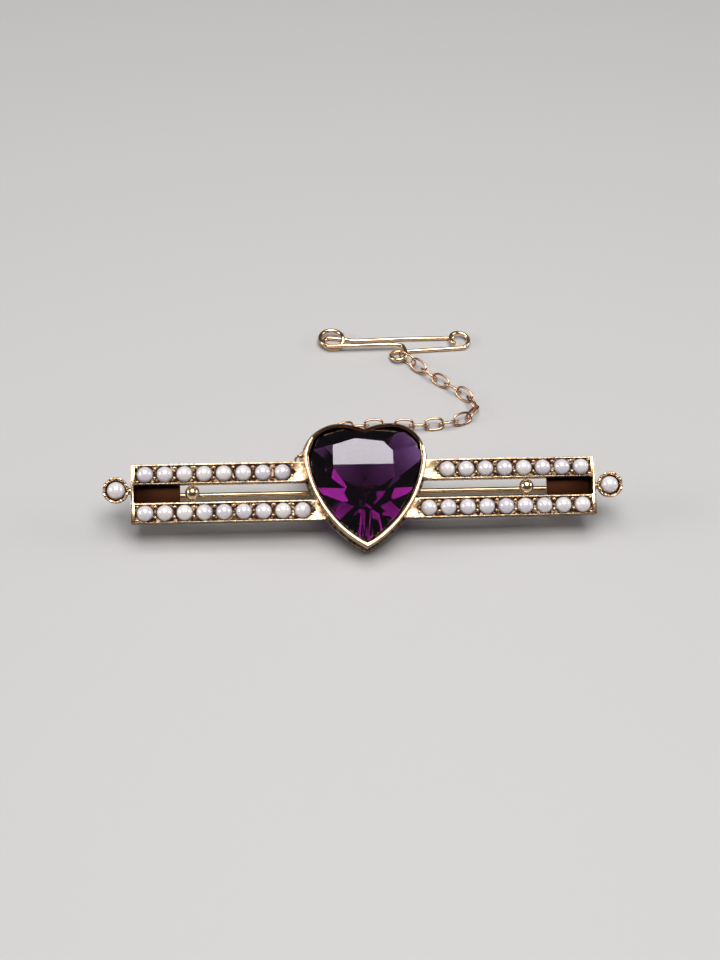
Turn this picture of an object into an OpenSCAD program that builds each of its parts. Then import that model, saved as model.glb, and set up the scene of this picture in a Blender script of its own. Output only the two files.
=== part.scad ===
// Bar brooch: a twin pearl bar with a heart-shaped stone, a safety chain and a small safety pin.
// It lies on a flat surface as it would by itself. The gold mount leans back on its hinge and catch
// with the tip of the heart collet in front, and the chain and safety pin lie behind it.
// The mount is drawn face up (x along the bars, y across them, z out of the face), then leaned back.

/* [Bars] */
// Length of the frame between the outer faces of its end strips
frame_l = 53.5; // [52:0.1:60]
// Width of each bar
bar_w = 2.35; // [2.3:0.05:2.7]
// Open slot between the two bars
slot_w = 2.1; // [1.9:0.05:2.4]
// Depth of the bars from face to back
bar_t = 1.3; // [1.2:0.05:1.8]
// Width of the plain strip that closes the bars at each end
strip_w = 0.5; // [0.3:0.05:0.7]
// Height that the end strips stand above the face of the bars
strip_rise = 0.06; // [0.02:0.01:0.15]

/* [Bar pearls] */
// Diameter of the pearls along the bars
pearl_d = 1.93; // [1.7:0.01:1.95]
// Distance between neighbouring pearls
pearl_pitch = 2.235; // [2.2:0.005:2.3]
// Distance from the frame's end to the first pearl's centre
pearl_in = 1.6; // [1.55:0.05:1.9]
// Least distance of a row's last pearl from the heart's outline
row_end = 1.9; // [1.7:0.05:2.2]
// Depth of a pearl's widest line below the face of the bar
pearl_sink = 0.3; // [0.2:0.05:0.35]
// Height of a pearl's widest line above its flat back
pearl_foot = 0.4; // [0.3:0.05:0.5]

/* [Pearl setting] */
// Depth of the channel cut along the bar's face
channel_t = 0.2; // [0.12:0.01:0.25]
// Width of the thin rim left at each edge of a bar
rim_w = 0.17; // [0.1:0.01:0.2]
// Radius of the raised metal grains that hold the pearls
grain_r = 0.19; // [0.12:0.01:0.2]
// Clear gap round each pearl in its seat
seat_gap = 0.04; // [0.02:0.01:0.06]

/* [End collets] */
// Diameter of the pearl at each end
end_pearl_d = 2.15; // [1.9:0.05:2.5]
// Thickness of the collet's wall
cup_wall = 0.38; // [0.25:0.01:0.45]
// Gap between the end strip and the collet, crossed by the neck
cup_gap = 0.17; // [0.12:0.01:0.4]
// Height of the collet's scallops above the face of the bars
cup_rise = 0.4; // [0.3:0.05:0.6]
// How far the left collet stands above the middle of the slot
cup_up = 0.45; // [0:0.05:0.6]
// Number of scallops round the collet
scallops = 8; // [6:1:10]
// Diameter of the neck
neck_d = 0.8; // [0.5:0.05:1]

/* [Slot balls] */
// Diameter of the gold ball in each slot
ball_d = 1.7; // [1.3:0.05:1.85]
// Distance of each ball from its end of the frame
ball_in = 7.55; // [7.3:0.05:10]
// How far the two balls sit to the left of their even places
ball_left = 0.57; // [0:0.01:0.8]
// Width of the post that holds each ball to the lower bar
post_w = 0.7; // [0.6:0.05:1]

/* [Heart collet] */
// Distance of each lobe's centre from the middle
lobe_u = 3; // [2.7:0.05:3.1]
// Radius of the lobes
lobe_r = 4; // [3.8:0.05:4.2]
// Radius of the shallow curve from each lobe's top to the cleft
cleft_r = 6.8; // [6:0.1:8]
// Radius of the long sides
side_r = 13.6; // [12.5:0.1:15]
// Height of the lobes' tops above the middle of the slot
heart_top = 7.5; // [7.2:0.05:7.8]
// Distance of the heart's tip below the middle of the slot
heart_tip = 6.85; // [6.5:0.05:7.2]
// Height of the collet's lip above the face of the bars
collet_rise = 1.3; // [1.2:0.05:1.6]
// Depth of the collet's back below the face of the bars
collet_sink = 2.3; // [2:0.05:2.6]
// Thickness of the lip that is rubbed over the stone
lip_t = 0.3; // [0.2:0.05:0.35]
// Width of the lip seen from the front
lip_w = 0.55; // [0.5:0.05:0.65]
// How far the base collar stands out beyond the lip
collar_out = 0.3; // [0.2:0.05:0.4]
// Thickness of the base collar's wall
collar_wall = 0.6; // [0.5:0.05:0.7]
// Depth of the base collar's top below the face of the bars
collar_top = 0.6; // [0.4:0.05:0.8]
// Width of the inner bearing under the stone
bearing_w = 0.4; // [0.3:0.05:0.5]

/* [Heart stone] */
// Distance of the stone's edge inside the collet's outline
stone_in = 0.4; // [0.38:0.01:0.45]
// Height of the table above the top of the girdle
crown_h = 1.35; // [1.1:0.05:1.6]
// Thickness of the girdle
girdle_t = 0.2; // [0.15:0.05:0.3]
// Depth of the pavilion below the girdle
pavilion_h = 5; // [3.5:0.1:5]
// Depth of the girdle's top below the underside of the lip
girdle_under = 0.28; // [0.25:0.01:0.35]

/* [Pin, hinge and catch] */
// Diameter of the brooch pin
pin_d = 0.8; // [0.6:0.05:0.9]
// Distance of the pin's centre line behind the face of the bars
pin_back = 6; // [5.4:0.1:6.6]
// Height of the pin's centre line above the middle of the slot
pin_v = 0.5; // [0:0.1:0.8]
// Distance of the hinge and the catch from their ends of the frame
fitting_in = 2.35; // [2.2:0.05:3]
// Length of the base plates behind the slots
plate_l = 5; // [3.5:0.1:5]
// Thickness of the base plates
plate_t = 0.4; // [0.3:0.05:0.6]
// Outer radius of the catch's hook
hook_r = 1; // [0.95:0.05:1.2]
// Length of the hook along the pin
hook_l = 1.6; // [1.2:0.1:2]
// Thickness of the hook's wall
hook_wall = 0.42; // [0.3:0.02:0.44]
// Length of the pin's tapered point
point_l = 2.4; // [1.5:0.1:3]
// Diameter of the pin's blunt tip
tip_d = 0.16; // [0.1:0.02:0.3]
// Outer radius of the eye at the pin's hinge end
eye_r = 0.75; // [0.65:0.05:0.8]
// How much wider than the pin the eye is, along the rivet
eye_over = 0.1; // [0.06:0.02:0.2]
// Radius of the hinge's rivet
rivet_r = 0.3; // [0.25:0.01:0.35]
// Thickness of each hinge lug
lug_t = 0.4; // [0.3:0.05:0.6]
// Running gap in the hinge
hinge_gap = 0.08; // [0.04:0.01:0.1]

/* [Chain] */
// Length of a link
link_l = 2.7; // [2.6:0.05:2.8]
// Width of a link
link_w = 1.7; // [1.65:0.05:1.8]
// Diameter of the chain's wire
link_wire = 0.29; // [0.26:0.01:0.31]
// Clear gap between links at rest
link_gap = 0.17; // [0.15:0.01:0.2]
// Length of the end ring that joins the chain to the safety pin
ring_l = 2.9; // [2.8:0.05:3.1]
// Width of the end ring
ring_w = 1.9; // [1.85:0.05:2.1]
// Outer diameter of the chain ring behind the heart
loop_d = 1.7; // [1.6:0.05:1.9]
// Wire diameter of the chain ring and the end ring
loop_wire = 0.3; // [0.26:0.01:0.32]
// Height of the chain ring above the centre of the heart's left lobe
loop_up = 0.9; // [0.7:0.05:1.1]
// How far the chain ring stands inside the middle of the collar's wall
loop_in = 0.24; // [0.2:0.01:0.28]

/* [Safety pin] */
// Diameter of the safety pin's wire
wire_d = 0.55; // [0.5:0.01:0.58]
// Distance between the centres of the spring coil and the hook
safety_l = 17.1; // [16:0.1:19]
// Outer diameter of the spring coil
coil_d = 3.6; // [3.3:0.1:4]
// Outer diameter of the hook
catch_d = 3; // [2.8:0.1:3.2]
// Outer diameter of the middle ring
middle_d = 2.5; // [2.4:0.1:2.7]
// Distance of the middle ring from the coil's centre
middle_u = 8.65; // [8:0.05:9.2]
// Distance between the near wire and the middle ring's centre line
middle_off = 0.85; // [0.75:0.05:1]
// How far the hook's centre lies from the near wire's line
hook_off = 0.75; // [0.6:0.05:0.9]
// Clear gap where one wire crosses over another
cross_gap = 0.06; // [0.04:0.01:0.1]

/* [Hidden] */
GOLD = [0.86, 0.66, 0.42];
ROSE = [0.76, 0.52, 0.36];
PEARL = [0.93, 0.9, 0.87];
AMETHYST = [0.3, 0.08, 0.42];
// Overlap of soldered pieces
weld = 0.05;
// How far a cutting shape runs past what it cuts
past = 1;
$fn = 32;

bar_v = (slot_w + bar_w) / 2;
frame_h = slot_w + 2 * bar_w;
pearl_r = pearl_d / 2;
seat_r = pearl_r + seat_gap;
seat_floor = -pearl_sink - pearl_foot - seat_gap;
end_r = end_pearl_d / 2;
cup_r = end_r + seat_gap + cup_wall;
end_u = frame_l / 2 + cup_gap + cup_r;
lip_under = collet_rise - lip_t;
girdle_top = lip_under - girdle_under;
girdle_foot = girdle_top - girdle_t;
bearing_top = girdle_foot - bearing_w;
bearing_foot = -collar_top;
ball_u = frame_l / 2 - ball_in;
fitting_u = frame_l / 2 - fitting_in;

// The heart's outline, grown by g: a shallow arc at the cleft, a lobe, and a long side to the tip
function arc(c, r, a0, a1, n) = [for (i = [0 : n]) c + r * [cos(a0 + (a1 - a0) * i / n), sin(a0 + (a1 - a0) * i / n)]];
cleft_c = [lobe_u, heart_top - cleft_r];
lobe_c = [lobe_u, heart_top - lobe_r];
tip_dir = [0, -heart_tip] - lobe_c;
// The side arc touches the lobe from outside and ends at the tip, which gives its centre
side_d = side_r - lobe_r;
side_turn = acos((side_d * side_d + tip_dir * tip_dir - side_r * side_r) / (2 * side_d * norm(tip_dir)));
side_a = atan2(tip_dir[1], tip_dir[0]) - side_turn + 180;
side_c = lobe_c - side_d * [cos(side_a), sin(side_a)];
function heart_half(g) = concat(
    arc(cleft_c, cleft_r + g, acos(-lobe_u / (cleft_r + g)), 90, 5),
    [for (i = [1 : 9]) arc(lobe_c, lobe_r + g, 90, side_a, 9)[i]],
    [for (i = [1 : 8]) arc(side_c, side_r + g, side_a, -acos(-side_c[0] / (side_r + g)), 8)[i]]
);
function heart_points(g) = let (half = heart_half(g), n = len(half))
    concat(half, [for (i = [n - 2 : -1 : 1]) [-half[i][0], half[i][1]]]);
module heart(g, z0, z1) {
    translate([0, 0, z0])
        linear_extrude(z1 - z0)
            polygon(heart_points(g));
}

// The heart's right edge at height v across the bars
function heart_u(v) = v > lobe_c[1] + lobe_r * sin(side_a)
    ? lobe_c[0] + sqrt(lobe_r * lobe_r - pow(v - lobe_c[1], 2))
    : side_c[0] + sqrt(side_r * side_r - pow(v - side_c[1], 2));
// As many pearls as there is room for between the frame's end and the heart
function row_count(v) = 1 + floor((frame_l / 2 - pearl_in - heart_u(v) - row_end) / pearl_pitch);

// Rows of pearls: name, side, bar, number. The count runs from the frame's end to the heart.
ROWS = [
    ["pearl_ul_", -1, 1, row_count(bar_v)],
    ["pearl_ll_", -1, -1, row_count(-bar_v)],
    ["pearl_ur_", 1, 1, row_count(bar_v)],
    ["pearl_lr_", 1, -1, row_count(-bar_v)]
];
function pearl_u(i) = frame_l / 2 - pearl_in - i * pearl_pitch;
BAR_PEARLS = [
    for (row = ROWS)
        for (i = [0 : row[3] - 1])
            [str(row[0], i + 1), row[1] * pearl_u(i), row[2] * bar_v]
];
END_PEARLS = [["pearl_end_l", -end_u, cup_up], ["pearl_end_r", end_u, 0]];

// The face plane's lean: the tip of the collar and the round of the catch both touch the surface
foot_v = side_c[1] - sqrt(pow(side_r + collar_out, 2) - side_c[0] * side_c[0]);
foot_to_pin = [pin_v - foot_v, pin_back - collet_sink];
lean = atan2(foot_to_pin[1], foot_to_pin[0]) + asin(hook_r / norm(foot_to_pin));
rest_h = collet_sink * cos(lean) - foot_v * sin(lean);
// Where the face-up point p comes to lie, before the whole is centred
function leaned(p) = [p[0], p[1] * cos(lean) - p[2] * sin(lean), rest_h + p[1] * sin(lean) + p[2] * cos(lean)];

// Place of the safety pin's coil and its turn on the surface, measured from the brooch's middle
safety_at = [-2.65, 30.95];
safety_turn = 1.5;
front_y = leaned([0, -heart_tip, collet_rise])[1];
back_y = safety_at[1] + coil_d / 2;
centre_y = -(front_y + back_y) / 2;

module leaned_back() {
    translate([0, centre_y, rest_h])
        rotate([lean, 0, 0])
            children();
}

function unit(v) = v / norm(v);
function turned(p, a) = [p[0] * cos(a) - p[1] * sin(a), p[0] * sin(a) + p[1] * cos(a), p[2]];

// A wire of the given radius along a path; open ends are closed flat
module wire(path, r, sides) {
    n = len(path);
    tangents = [for (i = [0 : n - 1]) unit(path[min(i + 1, n - 1)] - path[max(i - 1, 0)])];
    points = [
        for (i = [0 : n - 1])
            let (side = unit(cross(tangents[i], [0, 0, 1])), up = cross(side, tangents[i]))
                for (k = [0 : sides - 1])
                    path[i] + r * (cos(360 * k / sides) * side + sin(360 * k / sides) * up)
    ];
    faces = concat(
        [[for (k = [sides - 1 : -1 : 0]) k]],
        [for (i = [0 : n - 2], k = [0 : sides - 1])
            let (a = i * sides + k, b = i * sides + (k + 1) % sides)
                for (f = [[a, b, a + sides], [b, b + sides, a + sides]]) f],
        [[for (k = [0 : sides - 1]) (n - 1) * sides + k]]
    );
    polyhedron(points, faces);
}

// An oval ring of wire about a centre: dir is its long axis and face its plane's normal
module oval(centre, dir, face, length, width, wire_dia) {
    sides = 6;
    r = wire_dia / 2;
    end_r = width / 2 - r;
    reach = length / 2 - r - end_r;
    across = cross(face, dir);
    angles = [for (i = [0 : 5]) -90 + 36 * i];
    rim = concat(
        [for (a = angles) [reach + end_r * cos(a), end_r * sin(a), cos(a), sin(a)]],
        [for (a = angles) [-reach - end_r * cos(a), -end_r * sin(a), -cos(a), -sin(a)]]
    );
    n = len(rim);
    points = [
        for (p = rim)
            let (out = p[2] * dir + p[3] * across)
                for (k = [0 : sides - 1])
                    centre + p[0] * dir + p[1] * across
                        + r * (cos(360 * k / sides) * out + sin(360 * k / sides) * face)
    ];
    faces = [
        for (i = [0 : n - 1])
            for (k = [0 : sides - 1])
                let (a = i * sides + k, b = i * sides + (k + 1) % sides,
                     c = (a + sides) % (n * sides), d = (b + sides) % (n * sides))
                    for (f = [[a, b, c], [b, d, c]]) f
    ];
    polyhedron(points, faces);
}

// Gold mount

// The channel of one row, pointed towards the heart, with a seat for each pearl
module row_cut(row) {
    half = bar_w / 2 - rim_w;
    last_u = pearl_u(row[3] - 1);
    outer_u = frame_l / 2 - strip_w;
    mirror([row[1] < 0 ? 1 : 0, 0, 0])
        translate([0, row[2] * bar_v, 0]) {
            translate([0, 0, -channel_t])
                linear_extrude(2 * channel_t)
                    polygon([[outer_u, -half], [outer_u, half], [last_u - half / 2, half],
                             [last_u - 1.5 * half, 0], [last_u - half / 2, -half]]);
            for (i = [0 : row[3] - 1])
                translate([pearl_u(i), 0, seat_floor])
                    cylinder(r = seat_r, h = past - seat_floor);
        }
}

// Two grains in each gap between pearls, and two at each end of the row. GRAIN_AT holds their places
// across the bar, as shares of half the channel's width.
GRAIN_AT = [0.72, -0.45];
module row_grains(row) {
    half = bar_w / 2 - rim_w;
    corner = [frame_l / 2 - strip_w - grain_r, half - grain_r];
    places = concat(
        [corner, [corner[0], -corner[1]]],
        [for (i = [1 : row[3]], share = GRAIN_AT) [pearl_u(i - 0.5), share * half]]
    );
    mirror([row[1] < 0 ? 1 : 0, 0, 0])
        translate([0, row[2] * bar_v, -channel_t])
            for (p = places)
                translate([p[0], p[1], 0])
                    sphere(r = grain_r, $fn = 16);
}

module bars() {
    for (v = [-bar_v, bar_v])
        translate([-frame_l / 2, v - bar_w / 2, -bar_t])
            cube([frame_l, bar_w, bar_t]);
    for (u = [-frame_l / 2, frame_l / 2 - strip_w])
        translate([u, -frame_h / 2, -bar_t])
            cube([strip_w, frame_h, bar_t + strip_rise]);
}

// A cup with a scalloped edge on a short neck, drawn about the pearl's centre line
module end_cup(side) {
    cup_floor = seat_floor - cup_wall;
    translate([side * end_u, side < 0 ? cup_up : 0, 0])
        difference() {
            union() {
                translate([0, 0, seat_floor])
                    cylinder(r = cup_r, h = cup_rise - seat_floor);
                translate([0, 0, cup_floor - cup_wall])
                    cylinder(r1 = cup_r / 2, r2 = cup_r, h = 2 * cup_wall);
                translate([0, 0, -bar_t / 2])
                    rotate([0, -90 * side, 0])
                        cylinder(d = neck_d, h = cup_r + cup_gap + weld);
            }
            translate([0, 0, seat_floor])
                cylinder(r = end_r + seat_gap, h = cup_rise - seat_floor + past);
            for (k = [0 : scallops - 1])
                rotate([0, 0, (k + 0.5) * 360 / scallops])
                    translate([0, 0, cup_rise])
                        rotate([0, 90, 0])
                            cylinder(r = PI * cup_r / scallops / 2, h = cup_r + past);
        }
}

// A ball in the slot, on a post from the lower bar
module slot_ball(side) {
    translate([side * ball_u - ball_left, 0, 0]) {
        translate([0, 0, -bar_t + ball_d / 2 + plate_t])
            sphere(d = ball_d);
        translate([-post_w / 2, -slot_w / 2 - weld, -bar_t])
            cube([post_w, slot_w / 2 + weld, bar_t / 2]);
    }
}

// Outside of the heart collet: a straight upper wall on a wider base collar
module heart_outside() {
    heart(0, -collar_top - weld, collet_rise);
    heart(collar_out, -collet_sink, -collar_top);
}

// Inside of the heart collet: under the lip, round the girdle, past the bearing and out at the back
module heart_inside() {
    heart(-lip_w, lip_under - weld, collet_rise + past);
    heart(seat_gap - stone_in, bearing_top, lip_under);
    heart(-stone_in - bearing_w, bearing_foot - weld, bearing_top + weld);
    heart(collar_out - collar_wall, -collet_sink - past, bearing_foot);
}

// Ring for the chain, on two pegs behind the left shoulder of the collar
loop_r = (loop_d - loop_wire) / 2;
loop_w = -collet_sink - link_wire - 2 * link_gap - loop_wire / 2;
loop_v = lobe_c[1] + loop_up;
loop_u = lobe_u + sqrt(pow(lobe_r + collar_out - collar_wall / 2, 2) - loop_up * loop_up) - loop_in;
module chain_loop() {
    translate([-loop_u, loop_v, loop_w]) {
        rotate_extrude($fn = 24)
            translate([loop_r, 0])
                circle(d = loop_wire, $fn = 16);
        for (v = [-loop_r, loop_r])
            translate([0, v, 0])
                cylinder(d = loop_wire + weld, h = -collet_sink - loop_w + weld, $fn = 16);
    }
}

// A base plate across both bars, behind the slot
module base_plate(u) {
    translate([u - plate_l / 2, -slot_w / 2 - bar_w / 2, -bar_t - plate_t])
        cube([plate_l, slot_w + bar_w, plate_t + weld]);
}
plate_u = frame_l / 2 - plate_l / 2 - strip_w;

// Two lugs with a rivet for the pin's eye. Their ends reach the surface with the catch.
eye_w = pin_d + eye_over;
lug_v = pin_v - eye_w / 2 - hinge_gap - lug_t;
lug_r = (hook_r - (pin_v - lug_v) * sin(lean)) / cos(lean);
module hinge() {
    base_plate(plate_u);
    for (v = [lug_v, pin_v + eye_w / 2 + hinge_gap])
        translate([fitting_u, v + lug_t, -pin_back]) {
            rotate([90, 0, 0])
                cylinder(r = lug_r, h = lug_t);
            translate([-lug_r, -lug_t, 0])
                cube([2 * lug_r, lug_t, pin_back - bar_t - plate_t + weld]);
        }
    translate([fitting_u, lug_v + weld, -pin_back])
        rotate([-90, 0, 0])
            cylinder(r = rivet_r, h = eye_w + 2 * hinge_gap + 2 * lug_t - 2 * weld);
}

// A hook open towards the lower edge, on a stalk from its base plate
hook_from = -140;
hook_turn = 230;
module catch() {
    mid_r = hook_r - hook_wall / 2;
    base_plate(-plate_u);
    translate([-fitting_u - hook_l / 2, pin_v, -pin_back]) {
        rotate([90, 0, 90])
            rotate([0, 0, hook_from])
                rotate_extrude(angle = hook_turn, $fn = 48)
                    translate([hook_r - hook_wall, 0])
                        square([hook_wall, hook_l]);
        translate([0, -hook_wall / 2, mid_r])
            cube([hook_l, hook_wall, pin_back - bar_t - plate_t - mid_r + weld]);
    }
}

module gold_mount() {
    color(GOLD)
        leaned_back() {
            difference() {
                union() {
                    bars();
                    heart_outside();
                }
                heart_inside();
                for (row = ROWS)
                    row_cut(row);
            }
            for (row = ROWS)
                row_grains(row);
            for (side = [-1, 1]) {
                end_cup(side);
                slot_ball(side);
            }
            chain_loop();
            hinge();
            catch();
        }
}

// Pearls: balls with a flat back
module pearl(u, v, r) {
    color(PEARL)
        leaned_back()
            translate([u, v, -pearl_sink])
                rotate_extrude($fn = 32)
                    intersection() {
                        circle(r = r, $fn = 48);
                        translate([0, -pearl_foot])
                            square([r, r + pearl_foot]);
                    }
}

// Heart stone, cut with flat facets like a real one. Its girdle stands free between lip and bearing.
stone_mid = [0, 1.2];
// The pavilion ends in a short keel, which runs from the middle to this point nearer the tip
keel_end = [0.1, -1.3];
stone_outline = heart_points(-stone_in);
function toward(a) = [cos(a), sin(a)];
// Distance of the stone's edge from its middle line, measured in direction a
function edge_at(a) = max([for (p = stone_outline) p * toward(a)]);
// The same for the end of the cuts: the crown's run to the middle, the pavilion's to the keel
function end_at(a, down) = down ? max(stone_mid * toward(a), keel_end * toward(a)) : stone_mid * toward(a);
// Facets: direction in degrees, and share of the way to the stone's middle or keel at which the cut
// reaches the height of the table or the depth of the keel. The crown's first nine bound the table, and
// the pavilion's last twelve are small steep ones along the girdle.
CROWN = [
    [106, 0.31], [83, 0.32], [44, 0.42], [0, 0.53], [-32, 0.52], [-45, 0.51], [-136, 0.59],
    [-146, 0.56], [179, 0.43],
    [124, 0.22], [94, 0.19], [66, 0.28], [22, 0.35], [-17, 0.28], [-60, 0.32], [-118, 0.33],
    [-163, 0.26], [152, 0.31]
];
PAVILION = [
    [90, 1], [62, 1], [118, 1], [36, 1], [144, 1], [12, 1], [168, 1], [-12, 1], [-168, 1],
    [-34, 1], [-146, 1], [-52, 1], [-128, 1],
    [76, 0.78], [104, 0.78], [49, 0.78], [131, 0.78], [24, 0.78], [156, 0.78], [0, 0.78],
    [180, 0.78], [-23, 0.78], [-157, 0.78], [-43, 0.78], [-137, 0.78]
];

// What lies outside one cut, which starts from the girdle at z
module facet(a, share, z, rise, down) {
    span = 4 * side_r;
    rotate([0, 0, a])
        translate([edge_at(a), 0, z])
            mirror([0, 0, down ? 1 : 0])
                rotate([0, atan(rise / share / (edge_at(a) - end_at(a, down))), 0])
                    translate([-span / 2, -span / 2, 0])
                        cube(span);
}

// Cuts the facets of a table one after the other, as on the wheel
module cut_facets(table, z, rise, down) {
    if (len(table) == 0)
        children();
    else
        difference() {
            cut_facets([for (i = [1 : 1 : len(table) - 1]) table[i]], z, rise, down)
                children();
            facet(table[0][0], table[0][1], z, rise, down);
        }
}

module heart_stone() {
    color(AMETHYST)
        leaned_back()
            cut_facets(CROWN, girdle_top, crown_h, false)
                cut_facets(PAVILION, girdle_foot, pavilion_h, true)
                    union() {
                        heart(-lip_w - seat_gap, girdle_top, girdle_top + crown_h);
                        heart(-stone_in, bearing_top + seat_gap, lip_under - seat_gap);
                        heart(-stone_in - bearing_w - seat_gap, girdle_foot - pavilion_h, girdle_foot);
                    }
}

// Brooch pin: an eye round the rivet, a straight stem through the catch and a tapered point
module pin_stem() {
    tip_u = -frame_l / 2 + strip_w / 2;
    color(GOLD)
        leaned_back()
            translate([0, pin_v, -pin_back])
                difference() {
                    union() {
                        translate([tip_u + point_l, 0, 0])
                            rotate([0, 90, 0])
                                cylinder(d = pin_d, h = fitting_u - tip_u - point_l - rivet_r - hinge_gap - weld);
                        translate([tip_u, 0, 0])
                            rotate([0, 90, 0])
                                cylinder(d1 = tip_d, d2 = pin_d, h = point_l);
                        translate([fitting_u, eye_w / 2, 0])
                            rotate([90, 0, 0])
                                cylinder(r = eye_r, h = eye_w);
                    }
                    translate([fitting_u, eye_w / 2 + past, 0])
                        rotate([90, 0, 0])
                            cylinder(r = rivet_r + hinge_gap, h = eye_w + 2 * past);
                }
}

// Chain

// Height of a link's centre where it lies tilted by 45 degrees on the surface
lie_z = (link_w / 2 - link_wire / 2) * sin(45) + link_wire / 2;
// Chosen points of the chain's way from the chain ring to the end ring, from the brooch's middle.
// Neighbouring links hook into each other on it.
CHAIN_WAY = [
    [-6.9, 6.2, 3.1], [-6.5, 7.4, 1.5], [-6.1, 8.8, 0.75], [-5.5, 10.4, lie_z], [-4.6, 12.2, lie_z],
    [-3.2, 13.9, lie_z], [-1, 14.9, lie_z], [2, 15.1, lie_z], [5, 15, lie_z], [8.5, 15, lie_z],
    [11.8, 15.4, lie_z], [14.2, 16.3, lie_z], [15.2, 17.9, lie_z], [14.7, 19.6, lie_z], [13.4, 21, lie_z],
    [11.9, 22.3, lie_z], [10.4, 23.6, lie_z]
];
// The first link hangs on the outer side of the chain ring
hang_at = leaned([-loop_u - loop_r, loop_v, loop_w]);
hang_dir = unit([0.22, 0.28, -0.93]);
chain_start = hang_at - (loop_wire + link_gap) / 2 * hang_dir;
// The end ring stands through the middle ring of the safety pin
middle_r = (middle_d - wire_d) / 2;
near_y = -(coil_d - wire_d) / 2;
middle_c = [middle_u, near_y - middle_off - middle_r];
ring_dir_local = unit([1, -1, 0]);
ring_dir = turned(ring_dir_local, safety_turn);
ring_reach = ring_l / 2 - loop_wire - 2 * link_gap - wire_d / 2;
ring_z = ring_w / 2;
function on_surface(p) = turned(p, safety_turn) + [safety_at[0], safety_at[1], 0];
ring_at = on_surface([middle_c[0], middle_c[1], ring_z] + (middle_r + ring_reach) * ring_dir_local);
chain_end = ring_at + (ring_l / 2 - loop_wire - 1.5 * link_gap) * ring_dir;

function between(a, b, c, d, t) = 0.5 * (2 * b + (c - a) * t + (2 * a - 5 * b + 4 * c - d) * t * t
    + (3 * b - a - 3 * c + d) * t * t * t);
function smooth_way(p, steps) = let (n = len(p)) concat(
    [for (i = [0 : n - 2], k = [0 : steps - 1])
        between(p[max(i - 1, 0)], p[i], p[i + 1], p[min(i + 2, n - 1)], k / steps)],
    [p[n - 1]]
);
way = smooth_way(concat([chain_start], CHAIN_WAY, [chain_end]), 8);
// Distance along the way at each of its points
way_s = [for (i = 0, s = 0; i < len(way); s = s + (i + 1 < len(way) ? norm(way[i + 1] - way[i]) : 0), i = i + 1) s];
way_l = way_s[len(way_s) - 1];
function way_along(s, axis) = lookup(s, [for (i = [0 : len(way) - 1]) [way_s[i], way[i][axis]]]);
function way_at(s) = [way_along(s, 0), way_along(s, 1), max(way_along(s, 2), lie_z)];
links = ceil(way_l / (link_l - 2 * link_wire - link_gap));
link_step = way_l / links;

// Each link is tilted by 45 degrees, one to the left and the next to the right
module chain() {
    color(ROSE)
        translate([0, centre_y, 0])
            for (i = [0 : links - 1]) {
                a = way_at(i * link_step);
                b = way_at((i + 1) * link_step);
                dir = unit(b - a);
                side = unit(cross(dir, [0, 0, 1]));
                up = cross(side, dir);
                tilt = i % 2 == 0 ? -45 : 45;
                oval((a + b) / 2, dir, cos(tilt) * up + sin(tilt) * side, link_l, link_w, link_wire);
            }
}

module end_ring() {
    color(ROSE)
        translate([0, centre_y, 0])
            oval(ring_at, ring_dir, cross(ring_dir, [0, 0, 1]), ring_l, ring_w, loop_wire);
}

// Safety pin: from the hook's end along the near wire, round the middle ring and the spring coil,
// and back along the far wire to the point, which lies in the hook
wire_r = wire_d / 2;
coil_r = (coil_d - wire_d) / 2;
hook_c = [safety_l, near_y + hook_off, 0];
catch_r = (catch_d - wire_d) / 2;
// One wire over another
over = wire_d + cross_gap;
// Where each bend starts and ends, in degrees: round the hook, with its end lifted over the far wire,
// round the middle ring, and round the coil, which runs level, drops under itself and winds inwards
HOOK_BEND = [235, 150, 135, -90];
MIDDLE_BEND = [90, 360];
COIL_BEND = [-90, -354, -364, -408, -420, -630];
// One arc of the wire, from one radius, height and angle to another
function turn(c, r0, r1, z0, z1, a0, a1, n) = [
    for (i = [0 : n])
        let (t = i / n, a = a0 + (a1 - a0) * t, r = r0 + (r1 - r0) * t)
            [c[0] + r * cos(a), c[1] + r * sin(a), z0 + (z1 - z0) * t]
];
// Soft corner between the middle ring and the near wire
corner_r = middle_r / 4;
corner_c = [middle_c[0] - middle_r, near_y - corner_r];
safety_path = concat(
    turn(hook_c, catch_r, catch_r, wire_r + over, wire_r + over, HOOK_BEND[0], HOOK_BEND[1], 5),
    turn(hook_c, catch_r, catch_r, wire_r + over, wire_r, HOOK_BEND[2], HOOK_BEND[3], 13),
    turn(middle_c, middle_r, middle_r, wire_r, wire_r + over, MIDDLE_BEND[0], MIDDLE_BEND[1], 16),
    [[middle_c[0] + middle_r * 0.92, middle_c[1] + middle_r * 0.75, wire_r + over],
     [middle_c[0] + middle_r * 0.55, near_y - wire_r, wire_r + over]],
    turn(corner_c, corner_r, corner_r, wire_r + over, wire_r + over, 70, 90, 1),
    turn([0, 0], coil_r, coil_r, wire_r + over, wire_r + over, COIL_BEND[0], COIL_BEND[1], 18),
    turn([0, 0], coil_r, coil_r, wire_r + over * 0.88, wire_r, COIL_BEND[2], COIL_BEND[3], 4),
    turn([0, 0], coil_r, coil_r * 0.45, wire_r, wire_r, COIL_BEND[4], COIL_BEND[5], 14),
    [[coil_r * 1.3, coil_r * 0.2, wire_r], [coil_r * 2.2, 0, wire_r],
     [safety_l / 2, wire_r * 0.4, wire_r], [hook_c[0] - catch_r * 0.55, 0, wire_r]]
);

module safety_pin() {
    color(GOLD)
        translate([safety_at[0], safety_at[1] + centre_y, 0])
            rotate([0, 0, safety_turn])
                wire(safety_path, wire_r, 10);
}

gold_mount();
heart_stone();
for (p = BAR_PEARLS)
    pearl(p[1], p[2], pearl_r);
for (p = END_PEARLS)
    pearl(p[1], p[2], end_r);
pin_stem();
chain();
end_ring();
safety_pin();
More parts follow.
